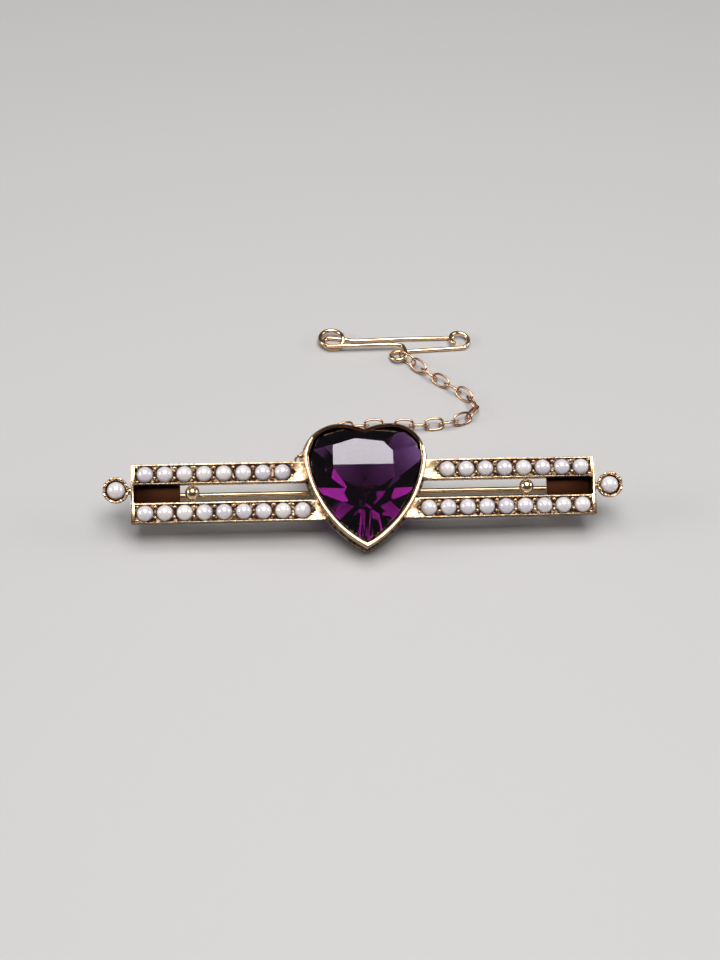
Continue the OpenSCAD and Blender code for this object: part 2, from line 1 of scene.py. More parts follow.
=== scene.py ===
"""A gold bar brooch with half pearls and a heart amethyst, its safety chain and its small safety pin.

The brooch lies on a pale floor, leaning back on its hinge and catch. Everything is built round the
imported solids: the places of the pearls, links and safety pin are read from them. The pieces of the
mount are modelled face up in millimetres (x along the bars, y across them, z out of the face) and are
then laid back to where the solids lean.
"""

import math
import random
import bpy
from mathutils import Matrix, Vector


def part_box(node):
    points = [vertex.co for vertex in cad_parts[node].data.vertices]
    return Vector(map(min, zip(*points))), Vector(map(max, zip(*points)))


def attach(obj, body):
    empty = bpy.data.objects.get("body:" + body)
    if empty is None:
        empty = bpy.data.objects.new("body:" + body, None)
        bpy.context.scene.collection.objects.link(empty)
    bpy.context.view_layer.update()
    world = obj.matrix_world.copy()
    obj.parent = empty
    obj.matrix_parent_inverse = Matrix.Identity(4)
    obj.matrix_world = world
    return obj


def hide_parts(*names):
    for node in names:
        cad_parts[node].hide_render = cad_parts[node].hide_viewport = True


bl_info = {
    "name": "Bar Brooch",
    "version": (1, 0, 0),
    "blender": (4, 5, 0),
    "location": "3D View > Sidebar > Brooch",
    "description": "Builds the finished look of a gold bar brooch with pearls and a heart amethyst",
    "category": "Object",
}

from types import SimpleNamespace

import bmesh
import bpy
import numpy as np
from bpy.props import FloatProperty, FloatVectorProperty, IntProperty, PointerProperty
from mathutils import Matrix, Vector, noise
from mathutils.kdtree import KDTree

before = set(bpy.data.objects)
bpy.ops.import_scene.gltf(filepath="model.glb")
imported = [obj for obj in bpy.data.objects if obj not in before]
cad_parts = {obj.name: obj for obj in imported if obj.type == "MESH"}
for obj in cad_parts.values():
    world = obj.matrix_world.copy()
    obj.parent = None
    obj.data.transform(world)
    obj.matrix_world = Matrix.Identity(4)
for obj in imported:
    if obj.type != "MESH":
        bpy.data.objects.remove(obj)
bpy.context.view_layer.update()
MM = 0.001
BODY = "root"
# How far a cutting tool reaches past what it cuts, in millimetres
PAST = 1
# How far soldered parts reach into each other, in millimetres
WELD = 0.05
# The room that shows round a pearl in its seat, in millimetres
SEAT_ROOM = 0.03
# The gap under a pearl, round an end pearl and round the stone, in millimetres
SEAT_GAP = 0.04
# The mark of a recess that the brown film fills: partly tarnish, partly painted shade. Where the mark is 1,
# the film lies in patches.
WHOLE_FILM_AND_SHADE = 1.3


def linear(code):
    """The linear colour of an sRGB hex code, with full alpha."""
    parts = [int(code[i:i + 2], 16) / 255 for i in (1, 3, 5)]
    return tuple(c / 12.92 if c <= 0.04045 else ((c + 0.055) / 1.055) ** 2.4 for c in parts) + (1.0,)


def size_property(name, description, millimetres):
    return FloatProperty(name=name, description=description, default=millimetres * MM,
                         unit="LENGTH", subtype="DISTANCE", precision=5)


def colour_property(name, description, code):
    return FloatVectorProperty(name=name, description=description, default=linear(code),
                               size=4, min=0, max=1, subtype="COLOR")


class BroochSizes(bpy.types.PropertyGroup):
    """Sizes of the mount and the stone, as the solids have them"""

    frame_l: size_property("Frame length", "Length over the two end strips", 53.5)
    bar_w: size_property("Bar width", "Width of each bar", 2.35)
    slot_w: size_property("Slot width", "Open slot between the bars", 2.1)
    bar_t: size_property("Bar depth", "Depth of the bars from face to back", 1.3)
    strip_w: size_property("Strip width", "Width of the plain strip at each end", 0.5)
    strip_rise: size_property("Strip rise", "Height of the strips above the face", 0.06)
    pearl_pitch: size_property("Pearl spacing", "Distance between neighbouring pearls", 2.235)
    pearl_in: size_property("First pearl", "From the frame's end to the first pearl's centre", 1.6)
    pearl_sink: size_property("Pearl depth", "Depth of a pearl's widest line below the face", 0.3)
    pearl_foot: size_property("Pearl foot", "Height of a pearl's widest line above its flat back", 0.4)
    channel_t: size_property("Channel depth", "Depth of the channel cut along each bar", 0.2)
    rim_w: size_property("Rim width", "Width of the thin rim at each edge of a bar", 0.17)
    grain_r: size_property("Grain radius", "Radius of the grains that hold the pearls", 0.19)
    soft_edge: size_property("Soft edge", "Rounding of the polished metal's edges", 0.05)
    cup_wall: size_property("Collet wall", "Thickness of the end collets' wall", 0.38)
    cup_gap: size_property("Neck length", "Gap between an end strip and its collet", 0.17)
    cup_rise: size_property("Collet rise", "Height of the scallops above the face", 0.4)
    neck_d: size_property("Neck diameter", "Diameter of the end collets' necks", 0.8)
    ball_d: size_property("Ball diameter", "Diameter of the gold balls in the slots", 1.7)
    ball_u: size_property("Ball place", "Distance of the balls from the middle", 19.2)
    ball_left: size_property("Ball shift", "How far both balls sit left of their even places", 0.57)
    post_w: size_property("Post width", "Width of the post that holds each ball", 0.7)
    collet_rise: size_property("Collet height", "Height of the heart's lip above the face", 1.3)
    collet_sink: size_property("Collet depth", "Depth of the collet's back below the face", 2.3)
    lip_t: size_property("Lip thickness", "Thickness of the lip rubbed over the stone", 0.3)
    lip_w: size_property("Lip width", "Width of the lip seen from the front", 0.55)
    collar_out: size_property("Collar", "How far the base collar stands out", 0.3)
    collar_wall: size_property("Collar wall", "Thickness of the base collar", 0.6)
    collar_top: size_property("Collar top", "Depth of the collar's top below the face", 0.6)
    bearing_w: size_property("Bearing", "Width and depth of the ledge under the stone", 0.4)
    stone_in: size_property("Stone edge", "Distance of the stone inside the collet's outline", 0.4)
    crown_h: size_property("Crown height", "Height of the table above the girdle", 1.35)
    girdle_t: size_property("Girdle", "Thickness of the stone's girdle", 0.2)
    pavilion_h: size_property("Pavilion depth", "Depth of the stone below its girdle", 5.0)
    girdle_under: size_property("Girdle under lip", "Depth of the girdle below the lip", 0.28)
    pin_back: size_property("Pin depth", "Depth of the brooch pin behind the face", 6.0)
    pin_v: size_property("Pin place", "Height of the brooch pin above the slot's middle", 0.5)
    fitting_u: size_property("Fitting place", "Distance of hinge and catch from the middle", 24.4)
    plate_l: size_property("Plate length", "Length of the base plates", 5.0)
    plate_t: size_property("Plate thickness", "Thickness of the base plates", 0.4)
    eye_w: size_property("Pin eye", "Length of the brooch pin's eye along the rivet", 0.9)
    hinge_gap: size_property("Hinge gap", "Gap between the eye and each lug", 0.08)
    lug_t: size_property("Lug thickness", "Thickness of the hinge's lugs", 0.4)
    rivet_r: size_property("Rivet radius", "Radius of the hinge's rivet", 0.3)
    hook_r: size_property("Catch radius", "Outer radius of the catch's hook", 1.0)
    hook_wall: size_property("Catch wall", "Thickness of the catch's hook", 0.42)
    hook_l: size_property("Catch length", "Length of the catch along the bars", 1.6)
    link_l: size_property("Link length", "Length of a chain link", 2.7)
    link_w: size_property("Link width", "Width of a chain link", 1.7)
    link_wire: size_property("Link wire", "Diameter of the chain's wire", 0.29)
    link_gap: size_property("Link gap", "Gap between rings that hold each other", 0.17)
    ring_l: size_property("End ring length", "Length of the ring at the chain's end", 2.9)
    ring_w: size_property("End ring width", "Width of the ring at the chain's end", 1.9)
    loop_wire: size_property("Ring wire", "Wire diameter of the end ring and chain ring", 0.3)
    loop_d: size_property("Chain ring", "Outer diameter of the chain ring", 1.7)
    loop_up: size_property("Chain ring place", "Height of the chain ring above a lobe's middle", 0.9)
    loop_in: size_property("Chain ring inset", "From the collar's wall in to the ring's centre", 0.24)
    wire_d: size_property("Pin wire", "Wire diameter of the safety pin", 0.55)
    safety_l: size_property("Safety pin length", "From the coil's centre to the hook's", 17.1)
    coil_d: size_property("Coil diameter", "Outer diameter of the safety pin's coil", 3.6)
    catch_d: size_property("Hook diameter", "Outer diameter of the safety pin's hook", 3.0)
    middle_d: size_property("Middle ring", "Outer diameter of the ring in the near wire", 2.5)
    middle_u: size_property("Middle ring place", "From the coil's centre to the middle ring's", 8.65)
    middle_off: size_property("Middle ring drop", "From the near wire down to the middle ring", 0.85)
    hook_off: size_property("Hook shift", "From the near wire up to the hook's centre", 0.75)
    cross_gap: size_property("Crossing gap", "Gap where the wire passes over itself", 0.06)
    scallops: IntProperty(name="Scallops", description="Scallops round each end collet",
                          default=8, min=6, max=12)


class BroochColours(bpy.types.PropertyGroup):
    """Colours of the finishes"""

    gold: colour_property("Gold", "Polished yellow gold", "#E2C6A0")
    gold_warm: colour_property("Warm gold", "Where the alloy looks redder", "#CDA782")
    # Brown of the film in the recesses: partly tarnish, partly painted shade
    tarnish_and_shade_brown: colour_property("Tarnish", "Brown film left in the recesses", "#26130A")
    rose: colour_property("Rose gold", "The chain's redder gold", "#BE9074")
    pearl: colour_property("Pearl", "Body colour of the pearls", "#D0C8C5")
    pearl_cool: colour_property("Pearl shade", "Cooler nacre between", "#BEB8C0")
    amethyst: colour_property("Amethyst", "Tint of the stone", "#B48AD0")
    floor: colour_property("Floor", "Plain pale floor", "#A9A7A6")


def sizes_in_mm(context):
    group = context.scene.brooch_sizes
    names = BroochSizes.__annotations__
    sizes = SimpleNamespace(**{n: getattr(group, n) / MM for n in names})
    sizes.scallops = group.scallops
    return sizes


# Places read from the solids


def ball(node):
    """Centre and radius of the ball that a half pearl is cut from. Its flat back faces down and away."""
    low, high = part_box(node)
    radius = (high.x - low.x) / 2
    return Vector(((low.x + high.x) / 2, low.y + radius, high.z - radius)), radius


def mount_matrix(pearl_sink):
    """Turns a place on the face-up mount, in millimetres, into one on the leaning mount, in metres."""
    along = Vector((1, 0, 0))
    across = (ball("pearl_ul_1")[0] - ball("pearl_ll_1")[0]).normalized()
    out = along.cross(across)
    corners = [ball(node)[0] for node in ("pearl_ul_1", "pearl_ll_1", "pearl_ur_1", "pearl_lr_1")]
    middle = sum(corners, Vector()) / 4 + out * pearl_sink * MM
    turned = Matrix((along, across, out)).transposed().to_4x4()
    return Matrix.Translation(middle) @ turned @ Matrix.Scale(MM, 4)


def loose_rings(node):
    """Centre, long direction and flat direction of each loose ring in a node."""
    mesh = bmesh.new()
    mesh.from_mesh(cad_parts[node].data)
    bmesh.ops.remove_doubles(mesh, verts=mesh.verts, dist=1e-7)
    left = set(mesh.verts)
    rings = []
    while left:
        ring = []
        queue = [left.pop()]
        while queue:
            vertex = queue.pop()
            ring.append(vertex.co.copy())
            for edge in vertex.link_edges:
                other = edge.other_vert(vertex)
                if other in left:
                    left.remove(other)
                    queue.append(other)
        points = np.array(ring)
        axes = np.linalg.eigh(np.cov((points - points.mean(0)).T))[1]
        rings.append((Vector(points.mean(0)), Vector(axes[:, 2]), Vector(axes[:, 0])))
    mesh.free()
    return sorted(rings, key=lambda r: tuple(r[0]))


# Modelling helpers


def only(obj):
    """Makes obj the one selected object."""
    if bpy.context.mode != "OBJECT":
        bpy.ops.object.mode_set(mode="OBJECT")
    bpy.ops.object.select_all(action="DESELECT")
    obj.select_set(True)
    bpy.context.view_layer.objects.active = obj
    return obj


def clear():
    if bpy.context.mode != "OBJECT":
        bpy.ops.object.mode_set(mode="OBJECT")
    bpy.ops.object.select_all(action="DESELECT")


def cut_flat(obj, point, normal):
    """Cuts away what lies on the normal's side of a plane and closes the cut."""
    only(obj)
    bpy.ops.object.mode_set(mode="EDIT")
    bpy.ops.mesh.select_all(action="SELECT")
    bpy.ops.mesh.bisect(plane_co=point, plane_no=normal, use_fill=True, clear_outer=True)
    bpy.ops.object.mode_set(mode="OBJECT")


def loft(rings, closed=False):
    """Skins a row of rings: each is extruded from the one before and shaped. Closed joins the last one
    to the first."""
    clear()
    bpy.ops.mesh.primitive_circle_add(vertices=len(rings[0]), radius=1)
    obj = bpy.context.object
    bpy.ops.object.mode_set(mode="EDIT")
    shape = bmesh.from_edit_mesh(obj.data)
    shape.verts.ensure_lookup_table()
    for vertex, place in zip(shape.verts, rings[0]):
        vertex.co = place
    bmesh.update_edit_mesh(obj.data)
    for before, ring in zip(rings, rings[1:] + (rings[:1] if closed else [])):
        bpy.ops.mesh.select_mode(type="EDGE")
        bpy.ops.mesh.extrude_region_move()
        shape = bmesh.from_edit_mesh(obj.data)
        tree = KDTree(len(before))
        for i, place in enumerate(before):
            tree.insert(place, i)
        tree.balance()
        for vertex in [v for v in shape.verts if v.select]:
            vertex.co = ring[tree.find(vertex.co)[1]]
        bmesh.update_edit_mesh(obj.data)
    if not closed:
        bpy.ops.mesh.edge_face_add()
        bpy.ops.mesh.select_all(action="DESELECT")
        bpy.ops.mesh.select_non_manifold(extend=False)
        bpy.ops.mesh.edge_face_add()
    bpy.ops.mesh.select_all(action="SELECT")
    bpy.ops.mesh.remove_doubles(threshold=1e-5)
    bpy.ops.mesh.normals_make_consistent(inside=False)
    bpy.ops.object.mode_set(mode="OBJECT")
    return obj


def prism(outline, low, high):
    """A flat-ended block with the given outline in x and y."""
    return loft([[Vector((p[0], p[1], z)) for p in outline] for z in (low, high)])


def block(low, high):
    """A box between two corners."""
    clear()
    low, high = Vector(low), Vector(high)
    bpy.ops.mesh.primitive_cube_add(size=1, location=(low + high) / 2)
    obj = bpy.context.object
    obj.scale = high - low
    bpy.ops.object.transform_apply(location=True, rotation=True, scale=True)
    return obj


def rod(start, end, radius, sides=24):
    """A round rod between two points."""
    clear()
    start, end = Vector(start), Vector(end)
    bpy.ops.mesh.primitive_cylinder_add(vertices=sides, radius=radius, depth=(end - start).length,
                                        location=(start + end) / 2)
    obj = bpy.context.object
    obj.rotation_mode = "QUATERNION"
    obj.rotation_quaternion = (end - start).to_track_quat("Z", "Y")
    bpy.ops.object.transform_apply(location=True, rotation=True, scale=True)
    return obj


def globe(centre, radius, segments=24, rings=14):
    clear()
    bpy.ops.mesh.primitive_uv_sphere_add(segments=segments, ring_count=rings, radius=radius,
                                         location=centre)
    obj = bpy.context.object
    bpy.ops.object.transform_apply(location=True, rotation=True, scale=True)
    return obj


def joined(objects):
    """Joins objects into the first of them."""
    clear()
    for obj in objects:
        obj.select_set(True)
    bpy.context.view_layer.objects.active = objects[0]
    if len(objects) > 1:
        bpy.ops.object.join()
    return bpy.context.object


def apply_all(obj):
    only(obj)
    for modifier in list(obj.modifiers):
        bpy.ops.object.modifier_apply(modifier=modifier.name)
    return obj


def carve(obj, tool, operation="DIFFERENCE"):
    """Cuts the tool's shape out of obj, or adds it, and removes the tool."""
    modifier = obj.modifiers.new("Carve", "BOOLEAN")
    modifier.operation = operation
    modifier.solver = "EXACT"
    modifier.object = tool
    apply_all(obj)
    bpy.data.objects.remove(tool)
    return obj


def soften(obj, width, segments=2, angle=35):
    """Rounds the sharp edges a little, as polishing does."""
    modifier = obj.modifiers.new("Soft edges", "BEVEL")
    modifier.width = width
    modifier.segments = segments
    modifier.limit_method = "ANGLE"
    modifier.angle_limit = math.radians(angle)
    return apply_all(obj)


def copied(obj):
    twin = obj.copy()
    twin.data = obj.data.copy()
    bpy.context.collection.objects.link(twin)
    return twin


def place(obj, matrix):
    """Moves the mesh by a matrix, and leaves the object at the origin."""
    only(obj)
    obj.matrix_world = matrix @ obj.matrix_world
    bpy.ops.object.transform_apply(location=True, rotation=True, scale=True)
    return obj


def mark_tarnish_and_painted_shade(obj, gets_tarnish_and_shade, film_and_shade=1.0):
    """Marks the faces of the recesses that get the brown film: partly tarnish that a polishing cloth
    doesn't reach, partly painted shade.
    """
    marks = obj.data.attributes.new("recess", "FLOAT", "FACE")
    for face in obj.data.polygons:
        marks.data[face.index].value = film_and_shade * gets_tarnish_and_shade(face)


def finish_piece(obj, name, material, nodes, smooth_angle=40):
    """Names a piece, gives it its finish and hands it to the frame."""
    only(obj)
    obj.name = name
    obj.data.name = name
    obj.data.materials.clear()
    obj.data.materials.append(material)
    if smooth_angle:
        bpy.ops.object.shade_smooth_by_angle(angle=math.radians(smooth_angle))
    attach(obj, BODY)
    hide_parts(*nodes)
    return obj


# Outlines


def arc(centre, radius, start, end, count):
    """Points along an arc from one angle to another, in degrees."""
    angles = [math.radians(start + (end - start) * i / count) for i in range(count + 1)]
    return [Vector((centre[0] + radius * math.cos(a), centre[1] + radius * math.sin(a))) for a in angles]


# The heart's outline, in millimetres: place and radius of the lobes, radius of the cleft and of the long
# sides, height of the top and depth of the tip
LOBE_U, LOBE_R, CLEFT_R, SIDE_R, HEART_TOP, HEART_TIP = 3.0, 4.0, 6.8, 13.6, 7.5, 6.85
LOBE_C = Vector((LOBE_U, HEART_TOP - LOBE_R))
CLEFT_C = Vector((LOBE_U, HEART_TOP - CLEFT_R))


def side_centre():
    """Centre of the long side's arc, which touches the lobe and ends at the tip."""
    tip = Vector((0, -HEART_TIP)) - LOBE_C
    reach = SIDE_R - LOBE_R
    turn = math.acos((reach ** 2 + tip.length_squared - SIDE_R ** 2) / (2 * reach * tip.length))
    angle = math.atan2(tip.y, tip.x) - turn + math.pi
    return LOBE_C - reach * Vector((math.cos(angle), math.sin(angle))), math.degrees(angle)


SIDE_C, SIDE_A = side_centre()


def heart(grow):
    """The heart's outline, grown outwards, as a closed row of points."""
    cleft_a = math.degrees(math.acos(-LOBE_U / (CLEFT_R + grow)))
    tip_a = -math.degrees(math.acos(-SIDE_C.x / (SIDE_R + grow)))
    half = arc(CLEFT_C, CLEFT_R + grow, cleft_a, 90, 8)
    half += arc(LOBE_C, LOBE_R + grow, 90, SIDE_A, 22)[1:]
    half += arc(SIDE_C, SIDE_R + grow, SIDE_A, tip_a, 18)[1:]
    return half + [Vector((-p.x, p.y)) for p in half[-2:0:-1]]


def oval_link(length, width, wire, stations=40, sides=10):
    """Rings of a wire bent to an oval link, with its long way along x."""
    radius = wire / 2
    # The link is a little fuller than an ellipse, whose power would be 2
    power = 2 / 2.5
    middles = []
    for i in range(stations):
        angle = 2 * math.pi * i / stations
        x = math.copysign(abs(math.cos(angle)) ** power, math.cos(angle)) * (length / 2 - radius)
        y = math.copysign(abs(math.sin(angle)) ** power, math.sin(angle)) * (width / 2 - radius)
        middles.append(Vector((x, y, 0)))
    rings = []
    for i, centre in enumerate(middles):
        along = middles[(i + 1) % stations] - middles[i - 1]
        out = Vector((along.y, -along.x, 0)).normalized()
        rings.append([centre + radius * (math.cos(t) * out + math.sin(t) * Vector((0, 0, 1)))
                      for t in (2 * math.pi * k / sides for k in range(sides))])
    return rings


def wire_rings(path, radii, sides=12):
    """Rings square to a path. Each ring's first point follows on from the last ring's."""
    rings = []
    side = None
    for i, point in enumerate(path):
        tangent = (path[min(i + 1, len(path) - 1)] - path[max(i - 1, 0)]).normalized()
        if side is None:
            side = tangent.orthogonal().normalized()
        side = (side - side.dot(tangent) * tangent).normalized()
        up = tangent.cross(side)
        radius = radii[i] if isinstance(radii, list) else radii
        rings.append([point + radius * (math.cos(t) * side + math.sin(t) * up)
                      for t in (2 * math.pi * k / sides for k in range(sides))])
    return rings


def smooth_path(points, steps):
    """A smooth path through chosen points."""
    path = []
    last = len(points) - 1
    for i in range(last):
        a, b, c, d = (points[max(i - 1, 0)], points[i], points[i + 1], points[min(i + 2, last)])
        for k in range(steps):
            t = k / steps
            path.append(0.5 * (2 * b + (c - a) * t + (2 * a - 5 * b + 4 * c - d) * t * t
                               + (3 * b - a - 3 * c + d) * t ** 3))
    return path + [points[last]]


# Finishes


# Real sizes of the patterns, in millimetres
ALLOY_DRIFT = 6
WHEEL_WEAR = 0.9
FILM_PATCH = 0.35
NACRE_TINT = 3.5
NACRE_GROWTH = 0.5
BOARD_GRAIN = 1.2
# Roughness of freshly polished, worn and filmed gold
POLISHED, WORN, FILMED = 0.09, 0.26, 0.42
# Depth below the face, in millimetres, that the ramps of the film and of the painted shade cover
FILM_AND_SHADE_DEPTH = 2.0


def grey(level):
    return (level, level, level, 1.0)


def add_node(tree, kind, settings=None, inputs=None, stops=()):
    """Adds a shader node. Settings are its fields, inputs its sockets by name or number with a value or
    what feeds them, and stops the places and colours of its colour ramp."""
    node = tree.nodes.new(kind)
    for field, value in (settings or {}).items():
        setattr(node, field, value)
    for key, value in (inputs or {}).items():
        if isinstance(value, bpy.types.NodeSocket):
            tree.links.new(value, node.inputs[key])
        else:
            node.inputs[key].default_value = value
    if stops:
        elements = node.color_ramp.elements
        while len(elements) < len(stops):
            elements.new(0.5)
        for element, (position, colour) in zip(elements, stops):
            element.position = position
            element.color = colour
    return node


def new_material(name):
    """A new material, its tree and its surface shader."""
    material = bpy.data.materials.new(name)
    material.use_nodes = True
    tree = material.node_tree
    return material, tree, tree.nodes["Principled BSDF"]


def per_metre(millimetres):
    """The scale that gives a pattern this size."""
    return 1 / (millimetres * MM)


def depth_below_face(tree, place_in, mount):
    """How deep a point of the leaning mount lies: 1 at the face, 0 at FILM_AND_SHADE_DEPTH below it."""
    upright = mount.to_3x3().normalized().inverted()
    laid = add_node(tree, "ShaderNodeMapping", inputs={
        "Vector": place_in, "Location": upright @ -mount.translation, "Rotation": upright.to_euler()})
    height = add_node(tree, "ShaderNodeSeparateXYZ", inputs={"Vector": laid.outputs["Vector"]})
    level = add_node(tree, "ShaderNodeMapRange", inputs={
        "Value": height.outputs["Z"], "From Min": -FILM_AND_SHADE_DEPTH * MM, "From Max": 0.0})
    return level.outputs["Result"]


def polished_gold(name, base, warm, tarnish_and_shade_brown, mount=None, film_and_shade_stops=None, wave=0.45, wave_depth=0.02):
    """Nine carat gold, polished by hand: the alloy's colour drifts a little, fine wheel marks soften the
    reflections, and a brown film lies in the recesses: partly tarnish that the cloth doesn't reach, partly
    painted shade. The waves' width and depth are in millimetres."""
    material, tree, surface = new_material(name)
    place_in = add_node(tree, "ShaderNodeTexCoord").outputs["Object"]
    drift = add_node(tree, "ShaderNodeTexNoise", inputs={
        "Vector": place_in, "Scale": per_metre(ALLOY_DRIFT), "Detail": 3.0})
    colour = add_node(tree, "ShaderNodeValToRGB", inputs={"Fac": drift.outputs["Fac"]},
                      stops=[(0.35, base), (0.7, warm)]).outputs["Color"]
    wear = add_node(tree, "ShaderNodeTexNoise", inputs={
        "Vector": place_in, "Scale": per_metre(WHEEL_WEAR), "Detail": 4.0})
    roughness = add_node(tree, "ShaderNodeMapRange", inputs={
        "Value": wear.outputs["Fac"], "To Min": POLISHED, "To Max": WORN}).outputs["Result"]
    if mount is not None:
        # The brown film, partly tarnish and partly painted shade, follows the depth below the face, fills
        # the recesses that are marked on the mesh, and is patchy
        depth = depth_below_face(tree, place_in, mount)
        depth_film_and_shade = add_node(tree, "ShaderNodeValToRGB", inputs={"Fac": depth}, stops=film_and_shade_stops)
        recess = add_node(tree, "ShaderNodeAttribute", {"attribute_name": "recess"})
        blotch = add_node(tree, "ShaderNodeTexNoise", inputs={
            "Vector": place_in, "Scale": per_metre(FILM_PATCH), "Detail": 3.0})
        patches = add_node(tree, "ShaderNodeMapRange", inputs={
            "Value": blotch.outputs["Fac"], "From Min": 0.35, "From Max": 0.65,
            "To Min": -0.3, "To Max": 0.3})
        film_and_shade = add_node(tree, "ShaderNodeMath", {"operation": "MAXIMUM"},
                        {0: depth_film_and_shade.outputs["Color"], 1: recess.outputs["Fac"]})
        film_and_shade_amount = add_node(tree, "ShaderNodeMath", {"operation": "ADD", "use_clamp": True},
                          {0: film_and_shade.outputs["Value"], 1: patches.outputs["Result"]}).outputs["Value"]
        # A mix node's socket 0 is its factor, 2 and 3 are its numbers, and 6 and 7 its colours
        colour = add_node(tree, "ShaderNodeMix", {"data_type": "RGBA"},
                          {0: film_and_shade_amount, 6: colour, 7: tarnish_and_shade_brown}).outputs[2]
        roughness = add_node(tree, "ShaderNodeMix", {"data_type": "FLOAT"},
                             {0: film_and_shade_amount, 2: roughness, 3: FILMED}).outputs[0]
    tree.links.new(colour, surface.inputs["Base Color"])
    tree.links.new(roughness, surface.inputs["Roughness"])
    surface.inputs["Metallic"].default_value = 1.0
    # Hand-finished metal is never quite flat: it has shallow waves
    waves = add_node(tree, "ShaderNodeTexNoise", inputs={
        "Vector": place_in, "Scale": per_metre(wave), "Detail": 4.0})
    bump = add_node(tree, "ShaderNodeBump", inputs={
        "Height": waves.outputs["Fac"], "Strength": 0.5, "Distance": wave_depth * MM})
    tree.links.new(bump.outputs["Normal"], surface.inputs["Normal"])
    return material


def nacre(colours):
    """Seed pearl: layered nacre with a soft silvery lustre over a pinkish white body, a little cooler and
    darker in patches, so that no two pearls look the same."""
    material, tree, surface = new_material("seed_pearl_nacre")
    place_in = add_node(tree, "ShaderNodeTexCoord").outputs["Object"]
    tint = add_node(tree, "ShaderNodeTexNoise", inputs={
        "Vector": place_in, "Scale": per_metre(NACRE_TINT), "Detail": 1.0})
    colour = add_node(tree, "ShaderNodeValToRGB", inputs={"Fac": tint.outputs["Fac"]},
                      stops=[(0.35, colours.pearl), (0.65, colours.pearl_cool)])
    tree.links.new(colour.outputs["Color"], surface.inputs["Base Color"])
    surface.inputs["Roughness"].default_value = 0.2
    surface.inputs["IOR"].default_value = 1.9
    surface.inputs["Coat Weight"].default_value = 1.0
    surface.inputs["Coat IOR"].default_value = 1.6
    surface.inputs["Coat Roughness"].default_value = 0.06
    growth = add_node(tree, "ShaderNodeTexNoise", inputs={
        "Vector": place_in, "Scale": per_metre(NACRE_GROWTH), "Detail": 3.0})
    bump = add_node(tree, "ShaderNodeBump", inputs={
        "Height": growth.outputs["Fac"], "Strength": 0.3, "Distance": 0.015 * MM})
    tree.links.new(bump.outputs["Normal"], surface.inputs["Normal"])
    return material


def amethyst(colours):
    """Deep purple quartz, cut and polished: clear, so that the light that enters the crown comes back from
    the pavilion's facets as magenta flashes."""
    material, tree, surface = new_material("amethyst_quartz")
    surface.inputs["Base Color"].default_value = colours.amethyst
    surface.inputs["Roughness"].default_value = 0.01
    surface.inputs["IOR"].default_value = 1.544
    surface.inputs["Transmission Weight"].default_value = 1.0
    depth = add_node(tree, "ShaderNodeVolumeAbsorption", inputs={
        "Color": (0.735, 0.5, 0.69, 1.0), "Density": 760.0})
    tree.links.new(depth.outputs["Volume"], tree.nodes["Material Output"].inputs["Volume"])
    return material


def painted_floor(colour):
    """A matt pale board, so that only soft shadows show on it."""
    material, tree, surface = new_material("pale_matt_board")
    place_in = add_node(tree, "ShaderNodeTexCoord").outputs["Object"]
    grain = add_node(tree, "ShaderNodeTexNoise", inputs={
        "Vector": place_in, "Scale": per_metre(BOARD_GRAIN), "Detail": 3.0})
    bump = add_node(tree, "ShaderNodeBump", inputs={
        "Height": grain.outputs["Fac"], "Strength": 0.05, "Distance": 0.05 * MM})
    tree.links.new(bump.outputs["Normal"], surface.inputs["Normal"])
    surface.inputs["Base Color"].default_value = colour
    surface.inputs["Roughness"].default_value = 0.65
    return material


def finish_for(key, context):
    """Makes a finish once, and gives it again to later pieces."""
    names = {"gold": "nine_carat_gold", "collet": "polished_collet_gold", "wire": "gold_wire",
             "rose": "rose_gold_wire", "pearl": "seed_pearl_nacre", "amethyst": "amethyst_quartz"}
    made = bpy.data.materials.get(names[key])
    if made:
        return made
    group = context.scene.brooch_colours
    colours = SimpleNamespace(**{n: tuple(getattr(group, n)) for n in BroochColours.__annotations__})
    mount = mount_matrix(sizes_in_mm(context).pearl_sink)
    gold = (colours.gold, colours.gold_warm, colours.tarnish_and_shade_brown)
    if key == "gold":
        stops = [(0.0, grey(0.3)), (1.0, grey(0.45))]
        return polished_gold(names[key], *gold, mount, stops, wave=0.22, wave_depth=0.03)
    if key == "collet":
        # Bright near the face and darker below it, from where its foot meets the base collar down: painted
        # shade with tarnish
        stops = [(0.4, grey(0.7)), (0.72, grey(0.7)), (0.85, grey(0.3)), (1.0, grey(0.12))]
        return polished_gold(names[key], *gold, mount, stops)
    if key == "wire":
        return polished_gold(names[key], *gold)
    if key == "rose":
        return polished_gold(names[key], colours.rose, colours.gold_warm, colours.tarnish_and_shade_brown)
    if key == "pearl":
        return nacre(colours)
    return amethyst(colours)


# Pieces


def bar_rows():
    """Side, bar and number of pearls of each row, counted from the solids."""
    rows = []
    sides = (("pearl_ul_", -1, 1), ("pearl_ll_", -1, -1), ("pearl_ur_", 1, 1), ("pearl_lr_", 1, -1))
    for name, side, bar in sides:
        count = sum(1 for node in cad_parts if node.startswith(name))
        rows.append((side, bar, count))
    return rows


